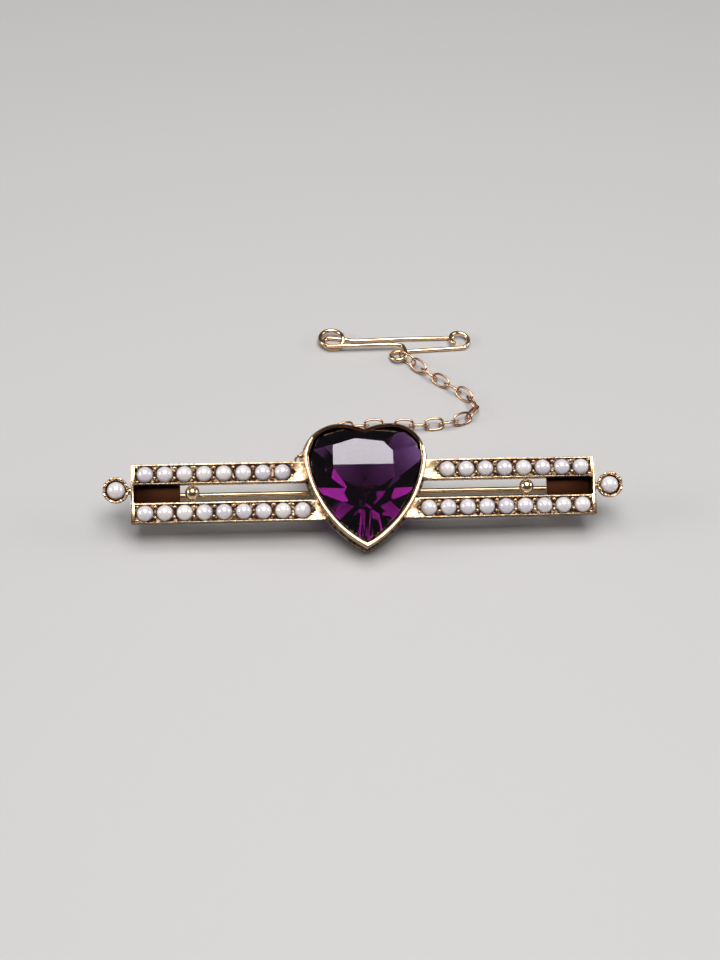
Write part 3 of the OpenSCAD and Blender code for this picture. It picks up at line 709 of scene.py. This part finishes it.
class BROOCH_OT_bars(bpy.types.Operator):
    """Make the two bars with their channels and pearl seats, and the end strips"""

    bl_idname = "brooch.bars"
    bl_label = "Bars"

    def execute(self, context):
        s = sizes_in_mm(context)
        mount = mount_matrix(s.pearl_sink)
        bar_v = (s.slot_w + s.bar_w) / 2
        half = s.bar_w / 2 - s.rim_w
        outer = s.frame_l / 2 - s.strip_w
        seat_r = ball("pearl_ul_1")[1] / MM + SEAT_ROOM
        seat_floor = -s.pearl_sink - s.pearl_foot - SEAT_GAP
        for bar, label in ((1, "upper_bar"), (-1, "lower_bar")):
            v = bar * bar_v
            rows = [(side, count) for side, row, count in bar_rows() if row == bar]
            piece = block((-s.frame_l / 2, v - s.bar_w / 2, -s.bar_t),
                          (s.frame_l / 2, v + s.bar_w / 2, 0))
            carve(piece, prism(heart(-s.stone_in / 2), -s.collet_sink - PAST, s.collet_rise + PAST))
            for side, count in rows:
                # The channel ends in a point past the last pearl
                last = s.frame_l / 2 - s.pearl_in - (count - 1) * s.pearl_pitch
                outline = [(outer, -half), (outer, half), (last - half / 2, half),
                           (last - 1.5 * half, 0), (last - half / 2, -half)]
                carve(piece, prism([(side * u, v + w) for u, w in outline], -s.channel_t, PAST))
            soften(piece, s.soft_edge)
            for side, count in rows:
                for i in range(count):
                    u = side * (s.frame_l / 2 - s.pearl_in - i * s.pearl_pitch)
                    carve(piece, rod((u, v, seat_floor), (u, v, PAST), seat_r, 32))

            # The channel's floor and the pearls' seats get the brown film: partly tarnish, partly painted
            # shade round the pearls
            def in_channel(face):
                u, across, height = face.center
                return (abs(u) < outer and abs(across - v) < half + 0.02
                        and -s.bar_t + 0.1 < height < -s.channel_t / 2)

            mark_tarnish_and_painted_shade(piece, in_channel)
            place(piece, mount)
            finish_piece(piece, label, finish_for("gold", context), ["gold_mount"])
        strips = []
        notch_w, notch_end, strip_edge = 0.18, 0.1, 0.09
        height = s.slot_w / 2 + s.bar_w
        notch_v = s.slot_w / 2 - notch_end
        for side in (-1, 1):
            inner = side * (s.frame_l / 2 - s.strip_w)
            ends = sorted((side * s.frame_l / 2, inner))
            strip = block((ends[0], -height, -s.bar_t), (ends[1], height, s.strip_rise))
            notch = block((inner - notch_w, -notch_v, -s.bar_t - PAST), (inner + notch_w, notch_v, PAST))
            strips.append(carve(strip, notch))
        piece = soften(joined(strips), strip_edge, 3)
        place(piece, mount)
        finish_piece(piece, "end_strips", finish_for("collet", context), ["gold_mount"])
        return {"FINISHED"}


class BROOCH_OT_grains(bpy.types.Operator):
    """Raise the grains of metal that hold the pearls"""

    bl_idname = "brooch.grains"
    bl_label = "Grains"

    def execute(self, context):
        s = sizes_in_mm(context)
        chance = random.Random(4)
        bar_v = (s.slot_w + s.bar_w) / 2
        half = s.bar_w / 2 - s.rim_w
        pattern = globe((0, 0, 0), 1, 14, 9)
        grains = []
        # Two grains stand between neighbouring pearls, at these shares of the channel's half width
        across = (0.72, -0.45)
        centre_up = 0.07
        for side, bar, count in bar_rows():
            first = s.frame_l / 2 - s.pearl_in
            corner_u = s.frame_l / 2 - s.strip_w - s.grain_r
            places = [(corner_u, edge * (half - s.grain_r)) for edge in (-1, 1)]
            places += [(first - (i - 0.5) * s.pearl_pitch, share * half)
                       for i in range(1, count + 1) for share in across]
            for u, v in places:
                # Raised by hand, so each is a little off its place and of its own size
                size = s.grain_r * chance.uniform(0.95, 1.2)
                grain = copied(pattern)
                spot = (side * (u + chance.uniform(-0.06, 0.06)),
                        bar * bar_v + v + chance.uniform(-0.05, 0.05), -s.channel_t + centre_up)
                grain.matrix_world = Matrix.Translation(spot) @ Matrix.Diagonal(
                    (size * chance.uniform(0.9, 1.2), size, size * chance.uniform(0.9, 1.25), 1))
                grains.append(grain)
        bpy.data.objects.remove(pattern)
        piece = joined(grains)
        bpy.ops.object.transform_apply(location=True, rotation=True, scale=True)
        place(piece, mount_matrix(s.pearl_sink))
        finish_piece(piece, "pearl_grains", finish_for("wire", context), ["gold_mount"])
        return {"FINISHED"}


class BROOCH_OT_end_collets(bpy.types.Operator):
    """Make the scalloped collets on their necks at both ends"""

    bl_idname = "brooch.end_collets"
    bl_label = "End collets"

    def execute(self, context):
        s = sizes_in_mm(context)
        end_r = ball("pearl_end_l")[1] / MM
        inner = end_r + SEAT_GAP
        outer = inner + s.cup_wall
        mount = mount_matrix(s.pearl_sink)
        floor = -s.pearl_sink - s.pearl_foot - SEAT_GAP
        steps = 96
        # The scallops' rims are broad and the cuts between them narrow: depth and sharpness of a cut
        cut_depth, cut_power = 0.34, 5
        # Radius, height and share of the scallops' cut, from under the cup over the edge to its floor
        profile = [
            (0.25, floor - 0.5, 0), (0.55, floor - 0.49, 0), (0.85, floor - 0.38, 0),
            (outer - 0.2, floor - 0.12, 0), (outer - 0.07, floor + 0.12, 0),
            (outer - 0.04, floor + 0.35, 0), (outer - 0.04, 0, 0.2), (outer, s.cup_rise - 0.14, 1),
            (outer - 0.02, s.cup_rise - 0.04, 1), (outer - 0.08, s.cup_rise, 1),
            (outer - 0.24, s.cup_rise - 0.04, 1), (inner + 0.04, s.cup_rise - 0.12, 1),
            (inner, floor + 0.3, 0.5), (inner, floor, 0), (0.3, floor, 0),
        ]
        rings = []
        for radius, height, cut in profile:
            ring = []
            for k in range(steps):
                angle = 2 * math.pi * k / steps
                dip = abs(math.cos(angle * s.scallops / 2)) ** cut_power
                ring.append(Vector((radius * math.cos(angle), radius * math.sin(angle),
                                    height - cut_depth * cut * dip)))
            rings.append(ring)

        # The cup's inside under its pearl gets the brown film: partly tarnish, partly painted shade
        def in_cup(face):
            return face.center.xy.length < inner + 0.03 and face.center.z > floor - 0.02

        for side, node, label in ((-1, "pearl_end_l", "left_collet"), (1, "pearl_end_r", "right_collet")):
            centre = mount.inverted() @ ball(node)[0]
            cup = loft(rings)
            mark_tarnish_and_painted_shade(cup, in_cup)
            neck = rod((-side * outer * 0.9, 0, -s.bar_t / 2),
                       (-side * (outer + s.cup_gap + WELD), 0, -s.bar_t / 2), s.neck_d / 2)
            piece = joined([cup, neck])
            place(piece, mount @ Matrix.Translation((centre.x, centre.y, 0)))
            finish_piece(piece, label, finish_for("collet", context), ["gold_mount"], 50)
        return {"FINISHED"}


class BROOCH_OT_slot_balls(bpy.types.Operator):
    """Make the gold ball and its post in each slot"""

    bl_idname = "brooch.slot_balls"
    bl_label = "Slot balls"

    def execute(self, context):
        s = sizes_in_mm(context)
        parts = []
        # Rounding of the post, and radius of the stalk on it as a share of the post's width
        post_edge, stalk_share = 0.12, 0.42
        for side in (-1, 1):
            u = side * s.ball_u - s.ball_left
            ball_w = -s.bar_t + s.ball_d / 2 + s.plate_t
            foot_v = -s.slot_w / 2 - WELD
            parts.append(globe((u, 0, ball_w), s.ball_d / 2, 32, 20))
            post = block((u - s.post_w / 2, foot_v, -s.bar_t), (u + s.post_w / 2, 0, -s.bar_t / 2))
            parts.append(soften(post, post_edge, 3))
            parts.append(rod((u, 0, ball_w), (u, foot_v, -s.bar_t / 3), s.post_w * stalk_share))
        piece = place(joined(parts), mount_matrix(s.pearl_sink))
        finish_piece(piece, "slot_balls", finish_for("wire", context), ["gold_mount"])
        return {"FINISHED"}


class BROOCH_OT_heart_collet(bpy.types.Operator):
    """Make the heart's collet with its rubbed-over lip, bearing and base collar"""

    bl_idname = "brooch.heart_collet"
    bl_label = "Heart collet"

    def execute(self, context):
        s = sizes_in_mm(context)
        under = s.collet_rise - s.lip_t
        bearing = under - s.girdle_under - s.girdle_t - s.bearing_w
        wall = -s.stone_in + SEAT_GAP
        # Growth of the heart's outline and height, up the outside, over the lip, which slopes down to the
        # stone, and down the inside
        profile = [
            (s.collar_out - 0.06, -s.collet_sink), (s.collar_out, -s.collet_sink + 0.06),
            (s.collar_out, -s.collar_top - 0.07), (s.collar_out - 0.07, -s.collar_top),
            (0.03, -s.collar_top),
            (0, -s.collar_top + 0.05), (0, s.collet_rise - 0.2), (-0.02, s.collet_rise - 0.09),
            (-0.06, s.collet_rise - 0.02), (-0.12, s.collet_rise), (-0.3, s.collet_rise - 0.03),
            (-s.lip_w + 0.07, s.collet_rise - 0.07), (-s.lip_w + 0.02, s.collet_rise - 0.13),
            (-s.lip_w, under + 0.06), (-s.lip_w + 0.04, under), (wall, under), (wall, bearing),
            (-s.stone_in - s.bearing_w, bearing), (-s.stone_in - s.bearing_w, -s.collar_top),
            (s.collar_out - s.collar_wall, -s.collar_top), (s.collar_out - s.collar_wall, -s.collet_sink),
        ]
        # The lip is rubbed down by hand: it is thinner over the lobes, above these heights on the left and
        # the right, and its inner edge wanders
        thin_left, thin_right, thinning = 5.2, 4.4, 0.68
        wander, wander_step = 0.1, 0.31
        edge = heart(0)
        rings = []
        for grow, height in profile:
            on_lip = grow < -0.1 and height > under - 0.01 and grow != wall
            ring = []
            for k, point in enumerate(heart(grow)):
                if on_lip:
                    start = thin_right if point.x > 0 else thin_left
                    thin = thinning * min(1, max(0, point.y - start))
                    thin += wander * noise.noise(Vector((k * wander_step, 0, 0)))
                    point = point.lerp(edge[k], thin)
                ring.append(Vector((point.x, point.y, height)))
            rings.append(ring)
        piece = loft(rings, closed=True)

        def inside(face):
            # The wall round the stone and the ledges under it get the whole brown film: partly tarnish,
            # partly painted shade under the lip and the stone
            outwards = face.normal.xy.dot(face.center.xy.normalized())
            return face.center.z < under + 0.1 and (
                outwards < -0.5 or (outwards < 0.3 and face.center.z > 0.05 - s.collar_top))

        mark_tarnish_and_painted_shade(piece, inside, WHOLE_FILM_AND_SHADE)
        place(piece, mount_matrix(s.pearl_sink))
        finish_piece(piece, "heart_collet", finish_for("collet", context), ["gold_mount"], 50)
        return {"FINISHED"}


# The stone's cuts run towards its middle, in millimetres. Under the girdle they end in a short keel, which
# runs from the middle to KEEL_END.
STONE_MIDDLE = Vector((0, 1.2))
KEEL_END = Vector((0.1, -1.3))
# Facets: direction in degrees, and share of the way to the middle or keel at which the cut reaches the
# height of the table or the depth of the keel
CROWN = [
    (106, 0.31), (83, 0.32), (44, 0.42), (0, 0.53), (-32, 0.52), (-45, 0.51), (-136, 0.59), (-146, 0.56),
    (179, 0.43), (124, 0.22), (94, 0.19), (66, 0.28), (22, 0.35), (-17, 0.28), (-60, 0.32), (-118, 0.33),
    (-163, 0.26), (152, 0.31),
]
PAVILION = [(angle, 1.0) for angle in (90, 62, 118, 36, 144, 12, 168, -12, -168, -34, -146, -52, -128)]
# Small steep facets between them, along the girdle
STEEP_SHARE = 0.78
PAVILION += [(angle, STEEP_SHARE) for angle in (76, 104, 49, 131, 24, 156, 0, 180, -23, -157, -43, -137)]


class BROOCH_OT_heart_stone(bpy.types.Operator):
    """Cut the heart-shaped amethyst, one flat facet at a time"""

    bl_idname = "brooch.heart_stone"
    bl_label = "Heart stone"

    def execute(self, context):
        s = sizes_in_mm(context)
        top = s.collet_rise - s.lip_t - s.girdle_under
        foot = top - s.girdle_t
        outline = heart(-s.stone_in)
        piece = prism(outline, foot - s.pavilion_h, top + s.crown_h)

        for table, level, rise in ((PAVILION, foot, -s.pavilion_h), (CROWN, top, s.crown_h)):
            for angle, share in table:
                away = Vector((math.cos(math.radians(angle)), math.sin(math.radians(angle))))
                edge = max(p.dot(away) for p in outline)
                middle = STONE_MIDDLE.dot(away)
                if rise < 0:
                    middle = max(middle, KEEL_END.dot(away))
                inwards = share * (edge - middle)
                normal = Vector((away.x, away.y, inwards / rise))
                cut_flat(piece, (edge * away.x, edge * away.y, level), normal.normalized())
        place(piece, mount_matrix(s.pearl_sink))
        finish_piece(piece, "amethyst_heart", finish_for("amethyst", context),
                     ["heart_stone"], smooth_angle=0)
        return {"FINISHED"}


class BROOCH_OT_pearls(bpy.types.Operator):
    """Make the half pearls, each a little different"""

    bl_idname = "brooch.pearls"
    bl_label = "Pearls"

    def execute(self, context):
        s = sizes_in_mm(context)
        mount = mount_matrix(s.pearl_sink)
        lean = mount.to_3x3().normalized().to_4x4()
        # Pearls aren't quite round: depth and breadth of the dents, as shares of the radius, and how far
        # apart the pearls lie in the noise
        dent_depth, dents_a_radius, noise_step = 0.035, 1.1, 7.3
        pattern = globe((0, 0, 0), 1, 36, 24)
        cut_flat(pattern, (0, 0, -s.pearl_foot / (ball("pearl_ul_1")[1] / MM)), (0, 0, -1))
        for number, node in enumerate(sorted(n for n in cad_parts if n.startswith("pearl_"))):
            centre, radius = ball(node)
            piece = copied(pattern)
            piece.matrix_world = Matrix.Translation(centre) @ lean @ Matrix.Scale(radius, 4)
            only(piece)
            for vertex in piece.data.vertices:
                bulge = noise.noise(vertex.co * dents_a_radius + Vector((number * noise_step, 0, 0)))
                vertex.co *= 1 - dent_depth * (0.5 + 0.5 * bulge)
            bpy.ops.object.transform_apply(location=True, rotation=True, scale=True)
            finish_piece(piece, "nacre_" + node, finish_for("pearl", context), [node])
        bpy.data.objects.remove(pattern)
        return {"FINISHED"}


class BROOCH_OT_fittings(bpy.types.Operator):
    """Make the base plates, the hinge and the catch behind the bars"""

    bl_idname = "brooch.fittings"
    bl_label = "Fittings"

    def execute(self, context):
        s = sizes_in_mm(context)
        mount = mount_matrix(s.pearl_sink)
        lean = math.atan2(mount[2][1], mount[1][1])
        plate_u = s.frame_l / 2 - s.plate_l / 2 - s.strip_w
        plate_v = (s.slot_w + s.bar_w) / 2
        fitting_edge, lug_edge, rivet_edge = 0.08, 0.06, 0.05
        # The plates reach under the strips by this share of their width, and the rivet's ends lie this far
        # inside the lugs, in millimetres
        under_strip, rivet_in = 0.6, 0.02
        plates = []
        for side in (-1, 1):
            u = side * plate_u
            ends = sorted((u - side * s.plate_l / 2, u + side * (s.plate_l / 2 + s.strip_w * under_strip)))
            plates.append(block((ends[0], -plate_v, -s.bar_t - s.plate_t),
                                (ends[1], plate_v, -s.bar_t + WELD)))
        plate = soften(joined(plates), fitting_edge)
        # The plates' tops, seen through the slots, get the whole brown film: painted shade under the bars,
        # with tarnish
        mark_tarnish_and_painted_shade(plate, lambda face: face.center.z > -s.bar_t, WHOLE_FILM_AND_SHADE)
        parts = [plate]
        lug_v = s.pin_v - s.eye_w / 2 - s.hinge_gap - s.lug_t
        lug_r = (s.hook_r - (s.pin_v - lug_v) * math.sin(lean)) / math.cos(lean)
        quarter = math.pi / 2
        # A lug is drawn flat with its length along y, then stood on edge
        outline = arc((0, 0), lug_r, -180, 0, 14)
        foot = s.pin_back - s.bar_t - s.plate_t + WELD
        outline += [Vector((lug_r, foot)), Vector((-lug_r, foot))]
        for v in (lug_v, s.pin_v + s.eye_w / 2 + s.hinge_gap):
            lug = soften(prism(outline, 0, s.lug_t), lug_edge)
            spot = Matrix.Translation((s.fitting_u, v + s.lug_t, -s.pin_back))
            parts.append(place(lug, spot @ Matrix.Rotation(quarter, 4, "X")))
        rivet_end = lug_v + s.eye_w + 2 * s.hinge_gap + 2 * s.lug_t - rivet_in
        rivet = rod((s.fitting_u, lug_v + rivet_in, -s.pin_back), (s.fitting_u, rivet_end, -s.pin_back),
                    s.rivet_r)
        parts.append(soften(rivet, rivet_edge, 2, 60))
        outer = arc((0, 0), s.hook_r, -140, 90, 36)
        inner = arc((0, 0), s.hook_r - s.hook_wall, 90, -140, 36)
        hook = soften(prism(outer + inner, -s.hook_l / 2, s.hook_l / 2), fitting_edge)
        spot = Matrix.Translation((-s.fitting_u, s.pin_v, -s.pin_back))
        turn = Matrix.Rotation(quarter, 4, "Z") @ Matrix.Rotation(quarter, 4, "X")
        parts.append(place(hook, spot @ turn))
        stalk = block((-s.fitting_u - s.hook_l / 2, s.pin_v - s.hook_wall / 2,
                       -s.pin_back + s.hook_r - s.hook_wall / 2),
                      (-s.fitting_u + s.hook_l / 2, s.pin_v + s.hook_wall / 2,
                       -s.bar_t - s.plate_t + WELD))
        parts.append(soften(stalk, fitting_edge))
        piece = place(joined(parts), mount)
        finish_piece(piece, "hinge_and_catch", finish_for("gold", context), ["gold_mount"])
        return {"FINISHED"}


class BROOCH_OT_chain(bpy.types.Operator):
    """Make the links of the safety chain, and the oval ring at its end"""

    bl_idname = "brooch.chain"
    bl_label = "Chain"

    def execute(self, context):
        s = sizes_in_mm(context)
        link = loft(oval_link(s.link_l, s.link_w, s.link_wire), closed=True)
        links = []
        for centre, along, flat in loose_rings("chain"):
            twin = copied(link)
            turn = Matrix((along, flat.cross(along), flat)).transposed().to_4x4()
            twin.matrix_world = Matrix.Translation(centre) @ turn @ Matrix.Scale(MM, 4)
            links.append(twin)
        bpy.data.objects.remove(link)
        for twin in links:
            only(twin)
            bpy.ops.object.transform_apply(location=True, rotation=True, scale=True)
        piece = joined(links)
        finish_piece(piece, "trace_chain", finish_for("rose", context), ["chain"], 60)
        centre, along, flat = loose_rings("end_ring")[0]
        ring = loft(oval_link(s.ring_l, s.ring_w, s.loop_wire, 40, 12), closed=True)
        turn = Matrix((along, flat.cross(along), flat)).transposed().to_4x4()
        place(ring, Matrix.Translation(centre) @ turn @ Matrix.Scale(MM, 4))
        finish_piece(ring, "oval_end_ring", finish_for("rose", context), ["end_ring"], 60)
        return {"FINISHED"}


class BROOCH_OT_chain_ring(bpy.types.Operator):
    """Make the ring that the chain hangs from, on two pegs behind the heart's left shoulder"""

    bl_idname = "brooch.chain_ring"
    bl_label = "Chain ring"

    def execute(self, context):
        s = sizes_in_mm(context)
        loop_r = (s.loop_d - s.loop_wire) / 2
        loop_w = -s.collet_sink - s.link_wire - 2 * s.link_gap - s.loop_wire / 2
        loop_v = LOBE_C.y + s.loop_up
        mid = LOBE_R + s.collar_out - s.collar_wall / 2
        loop_u = LOBE_U + math.sqrt(mid ** 2 - (loop_v - LOBE_C.y) ** 2) - s.loop_in
        up = Vector((0, 0, 1))
        steps, sides = 32, 12
        rings = []
        for i in range(steps):
            angle = 2 * math.pi * i / steps
            out = Vector((math.cos(angle), math.sin(angle), 0))
            rings.append([out * loop_r + s.loop_wire / 2 * (math.cos(t) * out + math.sin(t) * up)
                          for t in (2 * math.pi * k / sides for k in range(sides))])
        parts = [loft(rings, closed=True)]
        for v in (-loop_r, loop_r):
            peg_top = -s.collet_sink - loop_w + WELD
            parts.append(rod((0, v, 0), (0, v, peg_top), s.loop_wire / 2, 16))
        piece = joined(parts)
        place(piece, mount_matrix(s.pearl_sink) @ Matrix.Translation((-loop_u, loop_v, loop_w)))
        finish_piece(piece, "chain_ring", finish_for("gold", context), ["gold_mount"], 50)
        return {"FINISHED"}


class BROOCH_OT_safety_pin(bpy.types.Operator):
    """Bend the wire of the small safety pin"""

    bl_idname = "brooch.safety_pin"
    bl_label = "Safety pin"

    def execute(self, context):
        s = sizes_in_mm(context)
        r = s.wire_d / 2
        coil_r = (s.coil_d - s.wire_d) / 2
        hook_r = (s.catch_d - s.wire_d) / 2
        middle_r = (s.middle_d - s.wire_d) / 2
        corner_r = middle_r / 4
        near = -coil_r
        hook = Vector((s.safety_l, near + s.hook_off))
        middle = Vector((s.middle_u, near - s.middle_off - middle_r))
        corner = (middle.x - middle_r, near - corner_r)
        over = s.wire_d + s.cross_gap
        top = r + over
        pin_turn = 1.5

        def turn(c, r0, r1, z0, z1, a0, a1, n):
            """Points round a centre, from one radius, height and angle in degrees to another."""
            points = []
            for i in range(n + 1):
                t = i / n
                a = math.radians(a0 + (a1 - a0) * t)
                radius = r0 + (r1 - r0) * t
                points.append(Vector((c[0] + radius * math.cos(a), c[1] + radius * math.sin(a),
                                      z0 + (z1 - z0) * t)))
            return points

        # The wire runs from the hook's open end round the hook, along the near side and round its middle
        # ring, round the coil and back along the far side. The shares of the radii are chosen.
        path = turn(hook, hook_r, hook_r, top, top, 235, 150, 5)
        path += turn(hook, hook_r, hook_r, top, r, 135, -90, 13)
        path += turn(middle, middle_r, middle_r, r, top, 90, 360, 16)
        path += [Vector((middle.x + middle_r * 0.92, middle.y + middle_r * 0.75, top)),
                 Vector((middle.x + middle_r * 0.55, near - r, top))]
        path += turn(corner, corner_r, corner_r, top, top, 70, 90, 1)
        path += turn((0, 0), coil_r, coil_r, top, top, -90, -354, 18)
        path += turn((0, 0), coil_r, coil_r, r + over * 0.88, r, -364, -408, 4)
        path += turn((0, 0), coil_r, coil_r * 0.45, r, r, -420, -630, 14)
        path += [Vector((coil_r * 1.3, coil_r * 0.2, r)), Vector((coil_r * 2.2, 0, r)),
                 Vector((s.safety_l / 2, r * 0.4, r)), Vector((hook.x - hook_r * 0.55, 0, r))]
        wire = smooth_path(path, 3)
        low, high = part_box("safety_pin")
        reach = s.coil_d / 2 * MM
        spot = Matrix.Translation((low.x + reach, high.y - reach, 0))
        piece = loft(wire_rings(wire, r, 14))
        place(piece, spot @ Matrix.Rotation(math.radians(pin_turn), 4, "Z") @ Matrix.Scale(MM, 4))
        finish_piece(piece, "safety_pin_wire", finish_for("wire", context), ["safety_pin"], 50)
        return {"FINISHED"}


class BROOCH_OT_brooch_pin(bpy.types.Operator):
    """Give the brooch pin, which stays as the solids have it, its gold finish"""

    bl_idname = "brooch.brooch_pin"
    bl_label = "Brooch pin"

    def execute(self, context):
        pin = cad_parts["pin_stem"]
        pin.data.materials.clear()
        pin.data.materials.append(finish_for("wire", context))
        return {"FINISHED"}


class BROOCH_OT_stage(bpy.types.Operator):
    """Lay the pale floor and set the soft lights and the camera"""

    bl_idname = "brooch.stage"
    bl_label = "Stage"

    def execute(self, context):
        s = sizes_in_mm(context)
        clear()
        bpy.ops.mesh.primitive_plane_add(size=3)
        floor = bpy.context.object
        floor.name = "floor"
        floor.data.materials.append(painted_floor(tuple(context.scene.brooch_colours.floor)))

        world = bpy.data.worlds.new("soft_room")
        world.use_nodes = True
        background = world.node_tree.nodes["Background"]
        background.inputs["Color"].default_value = (0.85, 0.85, 0.9, 1)
        background.inputs["Strength"].default_value = 0.11
        context.scene.world = world
        context.scene.view_settings.view_transform = "Standard"
        # Place, what it points at, width, depth and power of each softbox, in metres and watts. The edge
        # of the front one is mirrored across the middle of the stone's table.
        boxes = [
            ("front_softbox", (0.02, -0.085, 0.36), (0.02, -0.085, 0), 0.24, 0.15, 1.3),
            ("overhead_softbox", (0.0, 0.07, 0.37), (0.0, 0.05, 0), 0.28, 0.13, 0.7),
            ("left_softbox", (-0.42, -0.02, 0.2), (0, 0, 0), 0.2, 0.14, 0.8),
            ("right_softbox", (0.42, 0.02, 0.2), (0, 0, 0), 0.2, 0.14, 0.6),
        ]
        for name, spot, aim, width, depth, power in boxes:
            clear()
            bpy.ops.object.light_add(type="AREA", location=spot)
            light = bpy.context.object
            light.name = name
            light.data.shape = "RECTANGLE"
            light.data.size = width
            light.data.size_y = depth
            light.data.energy = power
            light.rotation_euler = (Vector(aim) - Vector(spot)).to_track_quat("-Z", "Y").to_euler()

        # The photo's view: 49 degrees above the floor, a little from the left, turned by 3 degrees
        elevation, azimuth, roll = math.radians(49), math.radians(5.5), math.radians(3)
        distance = 0.15
        toward = Vector((-math.sin(azimuth) * math.cos(elevation), -math.cos(azimuth) * math.cos(elevation),
                         math.sin(elevation)))
        target = mount_matrix(s.pearl_sink).translation
        clear()
        bpy.ops.object.camera_add(location=target + toward * distance)
        camera = bpy.context.object
        right = Vector((math.cos(azimuth), -math.sin(azimuth), 0))
        up = toward.cross(right)
        tilted_right = math.cos(roll) * right + math.sin(roll) * up
        tilted_up = toward.cross(tilted_right)
        turn = Matrix((tilted_right, tilted_up, toward)).transposed()
        camera.matrix_world = Matrix.Translation(camera.location) @ turn.to_4x4()
        # The photo is 720 by 960 pixels and shows 0.1148 mm a pixel at the brooch's middle
        picture_w, picture_h, pixel = 720, 960, 0.1148 * MM
        middle_px = (365.7, 489.5)
        camera.data.sensor_width = 36
        camera.data.lens = camera.data.sensor_width * distance / (picture_h * pixel)
        camera.data.shift_x = (picture_w / 2 - middle_px[0]) / picture_h
        camera.data.shift_y = (middle_px[1] - picture_h / 2) / picture_h
        camera.data.clip_start = 0.005
        camera.data.clip_end = 10
        context.scene.camera = camera
        return {"FINISHED"}


class BROOCH_PT_panel(bpy.types.Panel):
    """Buttons for each piece of the brooch, with its sizes and colours"""

    bl_label = "Bar brooch"
    bl_idname = "BROOCH_PT_panel"
    bl_space_type = "VIEW_3D"
    bl_region_type = "UI"
    bl_category = "Brooch"

    def draw(self, context):
        layout = self.layout
        for operator in OPERATORS:
            layout.operator(operator.bl_idname)
        for group in (context.scene.brooch_sizes, context.scene.brooch_colours):
            column = layout.column(align=True)
            for name in type(group).__annotations__:
                column.prop(group, name)


OPERATORS = (BROOCH_OT_stage, BROOCH_OT_bars, BROOCH_OT_grains, BROOCH_OT_end_collets, BROOCH_OT_slot_balls,
             BROOCH_OT_heart_collet, BROOCH_OT_heart_stone, BROOCH_OT_pearls, BROOCH_OT_fittings,
             BROOCH_OT_chain_ring, BROOCH_OT_chain, BROOCH_OT_safety_pin, BROOCH_OT_brooch_pin)
CLASSES = (BroochSizes, BroochColours) + OPERATORS + (BROOCH_PT_panel,)


def register():
    for cls in CLASSES:
        bpy.utils.register_class(cls)
    bpy.types.Scene.brooch_sizes = PointerProperty(type=BroochSizes)
    bpy.types.Scene.brooch_colours = PointerProperty(type=BroochColours)


def unregister():
    del bpy.types.Scene.brooch_colours
    del bpy.types.Scene.brooch_sizes
    for cls in reversed(CLASSES):
        bpy.utils.unregister_class(cls)


def main():
    register()
    bpy.ops.brooch.stage()
    bpy.ops.brooch.bars()
    bpy.ops.brooch.grains()
    bpy.ops.brooch.end_collets()
    bpy.ops.brooch.slot_balls()
    bpy.ops.brooch.heart_collet()
    bpy.ops.brooch.heart_stone()
    bpy.ops.brooch.pearls()
    bpy.ops.brooch.fittings()
    bpy.ops.brooch.chain_ring()
    bpy.ops.brooch.chain()
    bpy.ops.brooch.safety_pin()
    bpy.ops.brooch.brooch_pin()
    clear()


if __name__ == "__main__":
    main()
